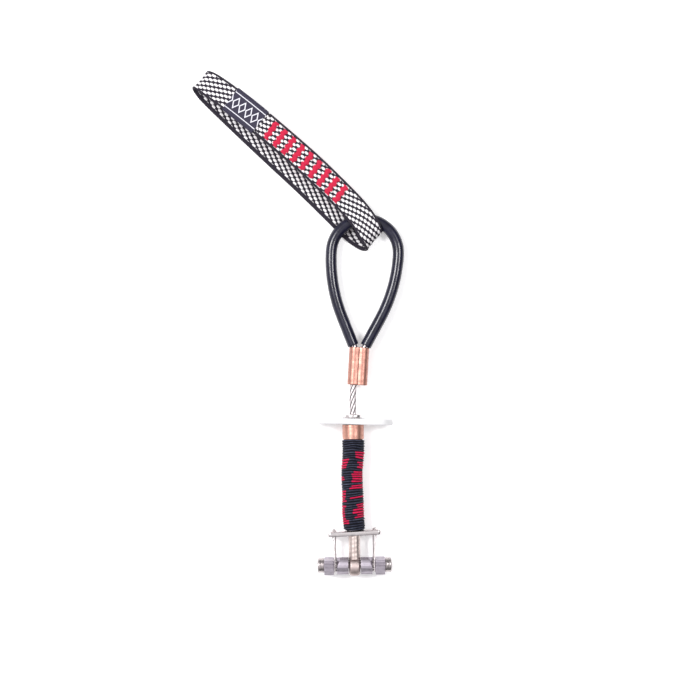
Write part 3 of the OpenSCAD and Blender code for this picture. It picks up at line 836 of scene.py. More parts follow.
def dress(piece: bpy.types.Object, body: str, finish: str, slot: str, *nodes: str) -> bpy.types.Object:
    """Gives a piece its finish and body, and lets it stand for CAD nodes.

    Args:
        piece: the piece.
        body: the body that it rides on, or "" for one that is left unattached.
        finish: a field of `Finishes`.
        slot: the record's material slot; not used.
        nodes: CAD nodes that it replaces.

    Returns:
        The piece.
    """
    piece.data.materials.clear()
    piece.data.materials.append(FINISHES.get(finish))
    if body:
        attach(piece, body)
    if nodes:
        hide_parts(*nodes)
    LOG.info("%s: %d faces, on %s", piece.name, len(piece.data.polygons), body or "two bodies")
    return piece


def dress_node(node: str, finish: str) -> None:
    """Gives a CAD node that stays its finish."""
    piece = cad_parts[node]
    piece.data.materials.clear()
    piece.data.materials.append(FINISHES.get(finish))
    LOG.info("%s: CAD node kept", node)


# ---------------------------------------------------------------- head


@dataclass
class Head:
    """Axle, collars, eye, lobes, springs and trigger wires.

    Attributes:
        contact_r: a lobe's radius at its contact line when open.
        contact_a: angle of that line, in degrees.
        spiral: growth of the lobe's radius per degree.
        tip_a, heel_a: ends of the gripping face, in degrees.
        hub_r: radius of a lobe's round back.
        pocket_r: radius of the spring's pocket.
        bore_r: radius of a lobe's bore.
        web: thickness of the wall between pocket and outside.
        teeth: distance between the fine ridges of the gripping face.
        inner_x, outer_x: ends of the lobes along the axle.
        axle_r: radius of the axle.
        collar_x, half_w: inner and outer end of a collar.
        collar_r: radius of a collar.
        shoulder_a: where a lobe's straight back meets its hub, in degrees.
        ridge_depth, grip_depth: depth of the ridges all round, and what the gripping face adds.
        ease: edge round of a lobe.
        chamfer: chamfer of its bore and pocket.
    """

    contact_r: float = 7.126
    contact_a: float = 16.0
    spiral: float = math.tan(math.radians(16)) * math.pi / 180
    tip_a: float = 23.0
    heel_a: float = -91.0
    hub_r: float = 3.87
    pocket_r: float = 2.65
    bore_r: float = 1.64
    web: float = 1.8
    teeth: float = 0.72
    inner_x: tuple[float, float] = (2.85, 8.15)
    outer_x: tuple[float, float] = (9.5, 13.85)
    axle_r: float = 1.6
    collar_x: float = 13.95
    collar_r: float = 3.4
    half_w: float = 16.95
    shoulder_a: float = 105.0
    ridge_depth: float = 0.05
    grip_depth: float = 0.12
    ease: float = 0.22
    chamfer: float = 0.15

    def outline(self, samples: int) -> tuple[np.ndarray, np.ndarray]:
        """A lobe's outline: a logarithmic spiral, a straight back to the hub, and the round hub.

        Args:
            samples: number of points.

        Returns:
            Their polar angles, in radians from the wall's normal towards the thumb loop, and their radii.
        """
        a = np.linspace(self.heel_a, 360 + self.heel_a, samples, endpoint=False)
        grip = self.contact_r * np.exp((a - self.contact_a) * self.spiral)
        tip = self.contact_r * math.exp((self.tip_a - self.contact_a) * self.spiral)
        turns = np.radians([self.tip_a, self.shoulder_a])
        start, end = np.stack([np.cos(turns), np.sin(turns)], -1) * [[tip], [self.hub_r]]
        way = end - start
        c, s = np.cos(np.radians(a)), np.sin(np.radians(a))
        flat = (start[0] * way[1] - start[1] * way[0]) / (c * way[1] - s * way[0])
        radius = np.where(a <= self.tip_a, grip, np.where(a < self.shoulder_a, flat, self.hub_r))
        window = np.hanning(11)[1:-1]
        soft = np.convolve(np.pad(radius, 4, "wrap"), window / window.sum(), "valid")
        run = np.cumsum(np.full(samples, TURN / samples) * soft)
        ridge = 0.5 + 0.5 * np.cos(run / self.teeth * TURN)
        on_grip = smooth_step(self.heel_a, self.heel_a + 6, a)
        on_grip = on_grip * (1 - smooth_step(self.tip_a - 4, self.tip_a + 2, a))
        depth = self.ridge_depth + self.grip_depth * on_grip
        return np.radians(a), soft - depth * ridge**2

    def lobe(self, side: Side, place: Place, opens: Opens) -> bpy.types.Object:
        """One lobe: its outline carried along the axle, with eased edges, a spring pocket and a bore.

        Each station is a distance along the axle and either an inset from the outline or a radius of its own.
        """
        a, radius = self.outline(1440)
        near, far = self.inner_x if place is Place.INNER else self.outer_x
        gap, pocket = (far, near) if place is Place.INNER else (near, far)
        sign = 1 if pocket > gap else -1
        web = gap + sign * self.web
        first = [(gap + sign * dx, radius - dr) for dx, dr in quarter(self.ease, 6)]
        last = [(pocket - sign * dx, radius - dr) for dx, dr in quarter(self.ease, 6)][::-1]
        start, end = first[-1][0], last[0][0]
        middle = [(start + (end - start) * k / 5, radius) for k in range(1, 5)]
        mouth, lip, soft = self.pocket_r + self.chamfer, self.bore_r + self.chamfer, 0.05
        inner = [(pocket, mouth), (pocket - sign * self.chamfer, self.pocket_r)]
        inner += [(web + sign * soft, self.pocket_r), (web, self.pocket_r - soft)]
        inner += [(web, self.bore_r + soft), (web - sign * soft, self.bore_r)]
        inner += [(gap + sign * self.chamfer, self.bore_r), (gap, lip)]
        face_a = [(pocket, mouth + (radius - self.ease - mouth) * t) for t in (0.97, 0.8, 0.5, 0.03)]
        face_b = [(gap, lip + (radius - self.ease - lip) * t) for t in (0.03, 0.35, 0.7, 0.97)]
        stations = first + middle + last + face_a + inner + face_b
        x = np.stack([np.full_like(radius, along) for along, _ in stations])
        r = np.stack([np.broadcast_to(reach, radius.shape) for _, reach in stations])
        z, y = r * np.cos(a), r * np.sin(a)
        if place is Place.INNER:
            # The hub's outer corner is cut away towards the stem, where the wires pass
            cut = 1.5 * smooth_step(-1.6, 3.9, y) * smooth_step(1.2, -0.6, z) * smooth_step(2.6, 3.5, r)
            closeness = 1 - np.clip(np.abs(x - gap) / 3.0, 0, 1)
            x = x + sign * cut * closeness
        points = np.stack([side.value * x, y, opens.value * z], -1)
        name = f"{place.value}_{side.name.lower()}"
        piece = BUILD.grid(f"lobe_{name}", points, (True, True))
        return dress(piece, f"{name}_cam", "lobe", "cam_alloy", f"cam_{name}")

    def collar(self, side: Side) -> bpy.types.Object:
        """A turned end collar with a rounded outer rim, a shallow groove and the axle's peened end."""
        x0, x1, r = self.collar_x, self.half_w, self.collar_r
        rim = [(x1 - near, r - inset) for inset, near in quarter(0.75, 7)]
        groove = x0 + 1.15
        profile = [(x0, self.axle_r), (x0, r - 0.12), (x0 + 0.12, r), (groove, r), (groove + 0.06, r - 0.1)]
        profile += [(groove + 0.22, r - 0.1), (groove + 0.28, r)] + rim
        profile += [(x1, 1.75), (x1 - 0.12, 1.6), (x1 - 0.3, 1.52)]
        shape = [(side.value * x, radius) for x, radius in profile]
        name = f"axle_collar_{side.name.lower()}"
        piece = lathe(name, "X", crisp(shape, 0.05, 3), 120)
        return dress(piece, "stem", "dark_steel", "steel_dark", name)

    def axle(self) -> bpy.types.Object:
        """The axle, with domed ends inside the collars."""
        end = self.half_w - 0.7
        dome = [(end + 0.35 * math.sin(t), self.axle_r * math.cos(t)) for t in np.linspace(0, math.pi / 2, 7)]
        profile = [(-x, r) for x, r in dome[::-1]] + dome
        piece = lathe("axle", "X", profile, 64, closed=False)
        return dress(piece, "stem", "dark_steel", "steel_dark", "axle")

    def eye(self) -> bpy.types.Object:
        """The brazed end block: a rounded barrel on the axle, with an arch under the tube.

        The section across the axle is a superellipse; its width along the axle narrows towards the ends.
        """
        low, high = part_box("head_eye")
        half_x, half_y, half_z = (high - low) / 2 / MM
        centre_y = (high.y + low.y) / 2 / MM
        t = np.linspace(0, math.pi, 65)[:, None]
        a = np.linspace(0, TURN, 144, endpoint=False)[None]
        power = 0.42
        ring = np.sign(np.sin(t)) * np.abs(np.sin(t)) ** power
        x = -half_x * np.sign(np.cos(t)) * np.abs(np.cos(t)) ** power
        bulge = 1 + 0.02 * np.sin(3 * a) * ring
        y = centre_y + half_y * ring * np.sin(a) * bulge
        z = half_z * ring * np.cos(a) * np.abs(np.cos(a)) ** -0.12
        arch = 0.18 * np.exp(-(((y - 2.4 + 0.10 * (x**2)) / 0.22) ** 2))
        shrink = 1 - arch / half_z
        points = np.stack([np.broadcast_to(x, y.shape), y, z * shrink], -1)
        piece = BUILD.grid("head_eye", points, (False, True))
        return dress(piece, "stem", "nickel", "steel_dark", "head_eye")

    def spacers(self) -> None:
        """The spacer rings keep their CAD shape."""
        dress_node("axle_spacers", "dark_steel")

    def spring(self, side: Side, place: Place) -> bpy.types.Object:
        """A torsion spring: a leg, a helix round the axle and a leg."""
        mid_r, wire_r = 2.12, 0.26
        if place is Place.INNER:
            anchor, web, turns = 2.55, self.inner_x[1] - self.web, 3
        else:
            anchor, web, turns = self.collar_x, self.outer_x[0] + self.web, 2
        sign = 1 if web > anchor else -1
        first, last = anchor + sign * (0.5 + wire_r), web - sign * (0.1 + wire_r)
        a = np.linspace(0, TURN * turns, 48 * turns + 1)
        coil = np.stack([first + (last - first) * a / a[-1], mid_r * np.cos(a), mid_r * np.sin(a)], -1)
        legs = [np.array([[anchor - sign * 0.5, mid_r, 0], [first - sign * 0.12, mid_r, 0]])]
        legs += [coil, np.array([[last + sign * 0.12, mid_r, 0], [web + sign * 0.6, mid_r, 0]])]
        path = np.vstack(legs)
        path[:, 0] *= side.value
        name = f"{place.value}_{side.name.lower()}"
        lean = np.stack([np.zeros(len(path)), path[:, 1], path[:, 2]], -1)
        piece = tube(f"cam_spring_{name}", path, wire_r, 12, 0.06, lean)
        dress(piece, "", "spring", "spring_steel", f"cam_spring_{name}")
        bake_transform(piece)
        return piece

    def wire(self, side: Side, place: Place, opens: Opens) -> bpy.types.Object:
        """A trigger wire: hooked into its lobe, past the other lobes, bent out and hooked on the bridge."""
        hook_y, hook_z, knee_y, top_z, r = -2.875, 2.635, 4.8, 1.15, 0.35
        name = f"{place.value}_{side.name.lower()}"
        top_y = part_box(f"trigger_wire_{name}")[1].y / MM - r
        low_x, high_x = (8.6, 8.7) if place is Place.INNER else (9.05, 10.1)
        inwards = 1 if place is Place.OUTER else -1
        knee_z = hook_z + (top_z - hook_z) * (knee_y - hook_y) / (top_y - hook_y)
        corners = [(low_x + inwards * 2.05, hook_y, hook_z), (low_x, hook_y, hook_z), (low_x, knee_y, knee_z)]
        corners += [(high_x, top_y, top_z), (high_x - inwards * 1.25, top_y, top_z)]
        path = rounded_path(np.array(corners), 0.5)
        path *= np.array([side.value, 1, opens.value])
        piece = tube(f"trigger_wire_{name}", even(path, 0.12), r, 14, 0.12, (0.3, 0.2, 1))
        # Painted shade: the inner wires, which pass behind the lobes, take the darker steel; the outer ones
        # take the bright wire finish
        finish = "wire" if place is Place.OUTER else "dark_steel"
        return dress(piece, f"{name}_wire", finish, "steel_bright", f"trigger_wire_{name}")

    def build(self) -> None:
        """Builds the whole head."""
        self.axle()
        self.eye()
        self.spacers()
        for side in Side:
            self.collar(side)
            for place, opens in ((Place.INNER, Opens.DOWN), (Place.OUTER, Opens.UP)):
                self.lobe(side, place, opens)
                self.spring(side, place)
                self.wire(side, place, opens)


def rounded_path(corners: np.ndarray, reach: float, steps: int = 8) -> np.ndarray:
    """A path through corners, each rounded by a quadratic curve that starts and ends `reach` from it."""
    parts = [corners[:1]]
    t = np.linspace(0, 1, steps)[:, None]
    for before, corner, after in zip(corners, corners[1:], corners[2:]):
        start, end = corner + unit(before - corner) * reach, corner + unit(after - corner) * reach
        parts.append((1 - t) ** 2 * start + 2 * t * (1 - t) * corner + t**2 * end)
    return np.vstack(parts + [corners[-1:]])


# ---------------------------------------------------------------- stem and loop


@dataclass
class Stem:
    """Stem tube, liner, cable, swage and loop sleeve.

    The cable's route repeats the part's own: straight up the stem, a small bend, the loop's lean and droop.

    Attributes:
        cable_r: radius of the cable.
        strands: outer strands of the cable.
        wires: wires that show on each strand.
        lay: length of one turn of the strands.
        tube_r: radius of the stem tube.
        cable_foot: where the cable starts.
        bend_y: where the cable leaves the straight stem.
        bend_r, droop_r: radii of its bends to the side and to the ground.
        lean, droop: angles of the loop to the right and to the ground, in degrees.
        kink_run: straight run between the two bends to the side.
        swage_len, swage_r: length of the swage, and radius of each of its two lobes.
        strand_x: half the distance between the two strands in the swage.
        flare_start, flare_r: how far inside the swage's mouth the legs part, and on what radius.
        leg, leg_a: length of the straight legs and their angle, in degrees.
        loop_r: radius of the loop's round end.
        sleeve_r, sleeve_gap: radius of the sleeve, and how far it stops short of the flare.
    """

    cable_r: float = 1.6
    strands: int = 6
    wires: int = 4
    lay: float = 21.0
    tube_r: float = 2.65
    cable_foot: float = 2.2
    bend_y: float = 75.3
    bend_r: float = 20.0
    droop_r: float = 40.0
    lean: float = 4.0
    droop: float = 1.67
    kink_run: float = 4.2
    swage_len: float = 17.2
    strand_x: float = 1.7
    flare_start: float = 3.5
    flare_r: float = 9.0
    leg_a: float = 25.0
    leg: float = 14.8
    loop_r: float = 15.4
    sleeve_r: float = 2.6
    sleeve_gap: float = 0.5
    swage_r: float = 2.85

    @property
    def side_r(self) -> float:
        """Radius of the long arcs that bring the legs into the round end."""
        a = math.radians(self.leg_a)
        across = self.loop_r - self.strand_x - self.flare_r * (1 - math.cos(a)) - self.leg * math.sin(a)
        return across / (1 - math.cos(a))

    @property
    def centre_y(self) -> float:
        """Distance from the swage's foot to the middle of the loop's round end."""
        a = math.radians(self.leg_a)
        rise = (self.flare_r + self.side_r) * math.sin(a) + self.leg * math.cos(a)
        return self.swage_len - self.flare_start + rise

    def walk(self, start: np.ndarray, heading: float, legs: Profile, step: float = 2.0) -> np.ndarray:
        """A flat route made of straight legs and arcs.

        Args:
            start: where it starts.
            heading: first heading in degrees from +Y towards +X.
            legs: each leg's length and its turn to the right in degrees.
            step: largest turn between two points, in degrees.

        Returns:
            The points after the start.
        """
        parts = []
        place = np.asarray(start, float)
        for length, turn in legs:
            n = max(1, math.ceil(abs(turn) / step))
            if not turn:
                n = max(1, math.ceil(length))
            mid = np.radians(heading + (np.arange(n) + 0.5) * turn / n)
            chord = length / n * np.sinc(math.radians(turn / n) / 2 / math.pi)
            moves = chord * np.stack([np.sin(mid), np.cos(mid)], -1)
            points = place + np.cumsum(moves, 0)
            parts.append(points)
            place, heading = points[-1], heading + turn
        return np.vstack(parts)

    def drooped(self, flat: np.ndarray) -> np.ndarray:
        """Puts flat points beyond the bend into space, lowered with the drooping end of the stem."""
        d = math.radians(self.droop)
        y = self.bend_y + self.droop_r * math.sin(d) + flat[:, 1] * math.cos(d)
        z = -self.droop_r * (1 - math.cos(d)) - flat[:, 1] * math.sin(d)
        return np.stack([flat[:, 0], y, z], -1)

    def routes(self) -> tuple[np.ndarray, np.ndarray, np.ndarray]:
        """The whole cable's route, the sleeve's route, and the swage's foot on the standing strand."""

        def arc(r: float, a: float) -> tuple[float, float]:
            """An arc's length and turn."""
            return r * math.radians(abs(a)), a

        over = 0.5
        bends = [arc(self.bend_r, self.lean + over), (self.kink_run, 0), arc(self.bend_r, -over)]
        lead = np.vstack([[[0, 0]], self.walk(np.zeros(2), 0, bends)])
        ahead = np.array([math.sin(math.radians(self.lean)), math.cos(math.radians(self.lean))])
        foot = lead[-1]
        inside_len = self.swage_len - self.flare_start
        mouth = foot + inside_len * ahead
        a, leg = self.leg_a, (self.leg, 0)
        flare, side = arc(self.flare_r, -a), arc(self.side_r, a)
        first = np.vstack([[mouth], self.walk(mouth, self.lean, [flare])])
        covered = self.walk(first[-1], self.lean - a, [leg, side, arc(self.loop_r, 180), side, leg])
        last = self.walk(covered[-1], self.lean + 180 + a, [flare, (inside_len - 0.6, 0)])
        straight = np.stack([np.zeros(60), np.linspace(self.cable_foot, self.bend_y, 60), np.zeros(60)], -1)
        inside = np.linspace(0, 1, 12)[1:-1, None] * (mouth - foot) + foot
        flat = np.vstack([lead, inside, first, covered, last])
        cable = np.vstack([straight, self.drooped(flat)])
        sleeve = self.drooped(np.vstack([first[-1:], covered]))
        run = lengths(sleeve)
        at = np.linspace(self.sleeve_gap, run[-1] - self.sleeve_gap, len(run))
        return cable, sampled(sleeve, run, at), foot

    def tube(self) -> bpy.types.Object:
        """The steel stem tube, a little out of round where it was pressed on to the cable.

        Radius = nominal - shallow dents, where the dents are a few smooth hollows round and along the tube.
        """
        low, high = (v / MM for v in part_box("stem_tube"))
        y = np.concatenate([[low.y], np.linspace(low.y + 0.05, high.y - 0.1, 220), [high.y]])
        a = np.linspace(0, TURN, 120, endpoint=False)
        yy, aa = np.meshgrid(y, a, indexing="ij")
        dents = np.zeros_like(yy)
        spots = ((5.4, 1.2, 0.03), (7.4, 4.6, 0.05), (8.6, 0.3, 0.04), (10.2, 2.2, 0.03))
        spots += ((11.6, 5.6, 0.04), (6.3, 3.3, 0.05))
        for at_y, at_a, deep in spots:
            apart = np.angle(np.exp(1j * (aa - at_a)))
            dents += deep * np.exp(-(((yy - at_y) / 1.1) ** 2) - (apart / 0.55) ** 2)
        r = self.tube_r - 0.012 * (1 + np.sin(yy * 3.1 + 2 * aa)) - dents
        r[[0, -1]] -= 0.06
        walls = np.concatenate([r, np.full((2, len(a)), self.cable_r + 0.05)])
        y_all = np.concatenate([y, [high.y, low.y]])
        along = np.broadcast_to(y_all[:, None], walls.shape)
        points = np.stack([walls * np.cos(a), along, walls * np.sin(a)], -1)
        piece = BUILD.grid("stem_tube", points, (True, True))
        return dress(piece, "stem", "tube_steel", "steel_bright", "stem_tube")

    def liner(self) -> bpy.types.Object:
        """The plastic liner inside the sheath."""
        low, high = (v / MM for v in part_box("stem_liner"))
        path = even(np.array([[0, low.y, 0], [0, high.y, 0]]), 1.0)
        piece = tube("stem_liner", path, high.x, 64, 0.3)
        return dress(piece, "stem", "liner", "liner_plastic", "stem_liner")

    def cable(self, route: np.ndarray) -> bpy.types.Object:
        """The stranded cable along its whole route.

        Seen in section the radius has one round lobe for each strand and small lobes for its wires; the lobes
        turn with the distance along the cable, the wires the other way than the strands.
        """
        path = even(route, 0.33)
        run = lengths(path)
        sides = 108
        a = np.linspace(0, TURN, sides, endpoint=False)[None]
        turned = a - TURN * run[:, None] / self.lay
        strand = np.abs(np.sin(turned * self.strands / 2))
        lobe = (1 - (1 - strand) ** 2) ** 0.5
        wire = np.abs(np.sin((turned * self.strands + TURN * run[:, None] / 3.1) * self.wires / 2))
        r = self.cable_r * (0.68 + 0.31 * lobe) + 0.012 * wire
        r *= rounded_ends(sides, run, 0.25)
        uv = (run * ROD_UV, np.linspace(0, 1, sides + 1))
        # crown is 0 in the grooves between strands, where the cable's finish paints shade
        piece = BUILD.grid("stem_cable", tube_points(path, r), uv=uv, values={"crown": strand})
        return dress(piece, "stem", "cable", "cable_steel", "stem_cable")

    def sleeve(self, route: np.ndarray) -> bpy.types.Object:
        """The plastic sleeve: a thick hose with square ends, whose wall flattens a little on the tight bend.

        It is one closed wall: along the outside, over the end, and back along the inside.
        """
        path = settled(even(route, 0.7), 9)
        run = lengths(path)
        edge = np.array([0, 0.1, 0.3])
        at = np.unique(np.concatenate([run, edge, run[-1] - edge]))
        path = sampled(path, run, at)
        sides = 48
        a = np.linspace(0, TURN, sides, endpoint=False)[None]
        tangent = unit(np.gradient(path, axis=0))
        bend = np.linalg.norm(np.gradient(tangent, axis=0), axis=1) / np.gradient(at)
        tight = settled(bend[:, None], 31) * self.loop_r
        outer = self.sleeve_r * (1 - 0.012 * tight * np.cos(2 * a)) - 0.012 * (1 + np.sin(at * 0.9)[:, None])
        from_end = np.minimum(at, at[-1] - at)[:, None]
        outer = outer - 0.22 * np.clip(1 - from_end / 0.3, 0, 1) ** 2
        inner = np.full_like(outer, self.cable_r + 0.04)
        rings_out, rings_in = tube_points(path, outer), tube_points(path, inner)
        both = np.concatenate([rings_out, rings_in[::-1]])
        down = np.concatenate([at, at[-1] + 1 + at, [2 * at[-1] + 2]]) * ROD_UV
        piece = BUILD.grid("loop_sleeve", both, (True, True), (down, np.linspace(0, 1, sides + 1)))
        return dress(piece, "stem", "sleeve", "loop_plastic", "loop_sleeve")

    def swage(self, foot: np.ndarray) -> bpy.types.Object:
        """The pressed copper sleeve: two lobes with a valley between, press lines along it and rolled ends.

        In section the radius is that of the union of two circles, blended over the valley.
        """
        sides = 144
        a = np.linspace(0, TURN, sides, endpoint=False)
        c, r = self.strand_x, self.swage_r
        union = c * np.abs(np.cos(a)) + np.sqrt(r**2 - (c * np.sin(a)) ** 2)
        reach = union + 0.16 * np.exp(-((np.cos(a) / 0.16) ** 2))
        end, length = 0.35, self.swage_len
        t = np.linspace(0, math.pi / 2, 6)
        low = [(end * (1 - math.sin(s)), 1 - 0.055 * (1 - math.cos(s))) for s in t[::-1]]
        stations = low + [(y, 1 - 0.004 * math.sin(y * 1.9)) for y in np.linspace(0.8, length - 0.8, 40)]
        stations += [(length - y, f) for y, f in low[::-1]]
        outer = np.array([scale for _, scale in stations])[:, None] * (reach - 0.02)
        bore_x = 1.45 * c * np.sign(np.cos(a)) * np.abs(np.cos(a)) ** 0.6
        y = [at for at, _ in stations] + [length - 0.05, length - 0.6, 0.6, 0.05]
        x = np.vstack([outer * np.cos(a), np.tile(bore_x, (4, 1))])
        z = np.vstack([outer * np.sin(a), np.tile(1.35 * np.sin(a), (4, 1))])
        local = np.stack([x + c, np.repeat(np.array(y)[:, None], sides, 1), z], -1)
        points = self.in_swage(local, foot)
        # crown is 0 in the valley between the two lobes, where the copper finish paints shade
        crown = np.broadcast_to(1 - np.exp(-((np.cos(a) / 0.1) ** 2)), points.shape[:2])
        uv = (np.arange(len(y) + 1) * 0.004, np.linspace(0, 1, sides + 1))
        piece = BUILD.grid("loop_swage", points, (True, True), uv, {"crown": crown})
        return dress(piece, "stem", "copper", "copper", "loop_swage")

    def in_swage(self, local: np.ndarray, foot: np.ndarray) -> np.ndarray:
        """Takes points from the standing strand's foot into the part's frame: lean, then droop, then move."""
        lean, droop = math.radians(self.lean), math.radians(self.droop)
        x = local[..., 0] * math.cos(lean) + local[..., 1] * math.sin(lean)
        y = -local[..., 0] * math.sin(lean) + local[..., 1] * math.cos(lean)
        z = local[..., 2]
        ahead, up = y * math.cos(droop) + z * math.sin(droop), -y * math.sin(droop) + z * math.cos(droop)
        return np.stack([x, ahead, up], -1) + self.drooped(foot[None])[0]

    def build(self) -> None:
        """Builds the stem and the thumb loop."""
        cable, sleeve, foot = self.routes()
        self.tube()
        self.liner()
        self.cable(cable)
        self.sleeve(sleeve)
        self.swage(foot)


# ---------------------------------------------------------------- trigger


def directions(outline: np.ndarray) -> tuple[np.ndarray, np.ndarray]:
    """At each point of a closed outline, the way out from its middle and the way square to it."""
    a = np.arctan2(outline[:, 1], outline[:, 0])
    tangent = np.roll(outline, -1, 0) - np.roll(outline, 1, 0)
    return np.stack([np.cos(a), np.sin(a)], -1), unit(np.stack([tangent[:, 1], -tangent[:, 0]], -1))


def stood(flat: np.ndarray, y: float, turn: float, short: float) -> np.ndarray:
    """Stands a flat outline across the stem at y: y rises by x sin(turn), and x shrinks by cos(short)."""
    return np.stack([flat[:, 0] * math.cos(short), y + flat[:, 0] * math.sin(turn), flat[:, 1]], -1)


def outlined(
    name: str, outline: np.ndarray, stations: Profile, hole: Profile, tilt: float, at_y: float
) -> bpy.types.Object:
    """A plate square to the stem: an outline in XZ with eased edges, and a round hole.

    Args:
        name: name of the piece.
        outline: points (n, 2) of the outline, round its middle.
        stations: each a distance along Y from at_y and an inset from the outline.
        hole: each a distance along Y and a radius, from the top face down to the bottom one.
        tilt: turn about Z, in degrees.
        at_y: the plane that the plate turns in.

    Returns:
        The piece, a closed wall.
    """
    ring, normal = directions(outline)
    turn = math.radians(tilt)
    side = [(dy, outline - normal * inset) for dy, inset in stations]
    bore = [(dy, ring * r) for dy, r in hole]
    over = [(side[-1][0], side[-1][1] * (1 - t) + bore[0][1] * t) for t in (0.06, 0.3, 0.6, 0.94)]
    under = [(side[0][0], bore[-1][1] * (1 - t) + side[0][1] * t) for t in (0.06, 0.4, 0.7, 0.94)]
    parts = [stood(flat, at_y + dy, turn, turn) for dy, flat in side + over]
    parts += [stood(flat, at_y + dy, turn, 0.0) for dy, flat in bore]
    parts += [stood(flat, at_y + dy, turn, turn) for dy, flat in under]
    return BUILD.grid(name, np.array(parts), (True, True))


@dataclass
class Trigger:
    """Bridge, sheath, ferrule, plate, washer and the hidden pull cables.

    Attributes:
        plate_w, plate_h, plate_t: length, height and thickness of the plate.
        plate_y, plate_tilt: distance from the axle to its underside, and its tilt in degrees.
        scallop_r, scallop_in: radius and depth of the hollows in its long sides.
        neck_r: radius of the ferrule's neck and the plate's hole.
        cable_r: radius of the hole round the stem cable.
        bridge_y, bridge_tilt: distance from the axle to the bridge, and its tilt in degrees.
        bridge_len, bridge_d, bridge_h: its length, depth and height.
        bridge_corner, bridge_hole: radii of its corners and of the stem tube's hole.
        sheet, web: thickness of its flange and of its web.
        slot_half, slot_rise: half the width of its slots, and how far a wire moves in them.
        slots: how far from the stem each slot is, and which lobes its wire opens.
        rib: pitch of the sheath's ribs.
        sheath_r, sheath_bore: its outer radius and the radius of its bore.
        sway: how far its middle bows to the side.
        cover: cloth between its surface and the right pull cable.
        seed: seed of its random draws.
        red_blocks: a side, two ends as fractions of the sheath's length, and where the red starts, as an
            angle from the seam.
    """

    plate_w: float = 36.6
    plate_h: float = 13.0
    plate_t: float = 2.8
    plate_y: float = 64.4
    plate_tilt: float = -2.0
    scallop_r: float = 30.0
    scallop_in: float = 0.9
    neck_r: float = 3.3
    cable_r: float = 1.8
    bridge_y: float = 13.6
    bridge_h: float = 2.2
    bridge_len: float = 24.4
    bridge_d: float = 7.6
    bridge_corner: float = 1.4
    bridge_tilt: float = 2.5
    bridge_hole: float = 2.86
    sheet: float = 0.65
    web: float = 0.8
    slot_half: float = 0.5
    slot_rise: float = 1.265
    slots: tuple[tuple[float, Opens], ...] = ((10.1, Opens.UP), (8.7, Opens.DOWN))
    rib: float = 1.12
    sheath_r: float = 5.0
    sheath_bore: float = 4.2
    sway: float = 0.72
    cover: float = 0.12
    seed: int = 11
    red_blocks: tuple[tuple[Side, float, float, float], ...] = (
        (Side.RIGHT, 0.77, 0.84, 0.39),
        (Side.RIGHT, 0.68, 0.76, 0.60),
        (Side.RIGHT, 0.60, 0.65, 0.17),
        (Side.RIGHT, 0.56, 0.60, 0.30),
        (Side.RIGHT, 0.52, 0.55, 0.20),
        (Side.RIGHT, 0.46, 0.50, 0.02),
        (Side.RIGHT, 0.34, 0.38, 0.12),
        (Side.RIGHT, 0.24, 0.29, 0.62),
        (Side.RIGHT, 0.20, 0.24, 0.17),
        (Side.RIGHT, 0.14, 0.20, 0.48),
        (Side.LEFT, 0.67, 0.77, 0.46),
        (Side.LEFT, 0.54, 0.61, 0.62),
        (Side.LEFT, 0.32, 0.46, 0.50),
        (Side.LEFT, 0.17, 0.30, 0.64),
        (Side.LEFT, 0.10, 0.17, 0.46),
    )

    def plate(self) -> bpy.types.Object:
        """The trigger plate: round ends, scalloped long sides, eased edges."""
        r = self.plate_h / 2
        t = np.radians(np.linspace(-90, 90, 41))
        straight = self.plate_w / 2 - r
        right = np.stack([straight + r * np.cos(t), r * np.sin(t)], -1)
        x = np.linspace(straight, -straight, 81)[1:-1]
        deep = r + self.scallop_r - self.scallop_in
        edge = np.minimum(r, deep - np.sqrt(self.scallop_r**2 - x**2))
        top = np.stack([x, edge], -1)
        outline = np.vstack([right, top, -right, -top])
        window = np.ones(7) / 7
        soft = np.stack([np.convolve(np.pad(column, 3, "wrap"), window, "valid") for column in outline.T], -1)
        thick, neck, lip = self.plate_t, self.neck_r, 0.15
        ease = quarter(0.45, 7)
        stations = [*ease, (thick / 2, 0)] + [(thick - dy, inset) for dy, inset in ease[::-1]]
        hole = [(thick, neck + lip), (thick - lip, neck), (lip, neck), (0, neck + lip)]
        piece = outlined("trigger_plate", soft, stations, hole, self.plate_tilt, self.plate_y)
        return dress(piece, "trigger", "paint", "trigger_alloy", "trigger_plate")

    def washer(self) -> bpy.types.Object:
        """The washer on the plate, with eased edges and a raised inner rim."""
        low, high = (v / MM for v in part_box("trigger_washer"))
        r = high.x - 0.02
        profile = [(low.y, self.cable_r + 0.05), (low.y, r), (high.y - 0.25, r), (high.y - 0.25, r - 0.9)]
        profile += [(high.y, r - 1.2), (high.y, self.cable_r + 0.05)]
        piece = lathe("trigger_washer", "Y", crisp(profile, 0.14), 96)
        return dress(piece, "trigger", "bright_steel", "steel_bright", "trigger_washer")

    def ferrule(self) -> bpy.types.Object:
        """The turned copper ferrule: a spigot in the sheath, a ringed body and a neck through the plate."""
        low, high = (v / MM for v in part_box("trigger_ferrule"))
        r, spigot, top = high.x, 4.25, self.plate_y - 0.2
        foot, stop = 57.6, 60.95
        socket, bore, neck = 2.75, self.cable_r + 0.02, self.neck_r - 0.02
        body = np.arange(foot + 0.25, top - 0.2, 0.07)
        ringed = list(zip(body, r - 0.03 - 0.035 * (0.5 + 0.5 * np.cos(body * TURN / 0.55))))
        profile = [(low.y, socket), (low.y, spigot), (foot, spigot), (foot, r - 0.25), (foot + 0.1, r - 0.08)]
        profile += ringed + [(top - 0.1, r - 0.06), (top, r - 0.2), (top, neck), (high.y, neck)]
        profile += [(high.y, bore), (stop + 0.05, bore), (stop, socket)]
        piece = lathe("trigger_ferrule", "Y", profile, 128)
        return dress(piece, "trigger", "turned_copper", "copper", "trigger_ferrule")

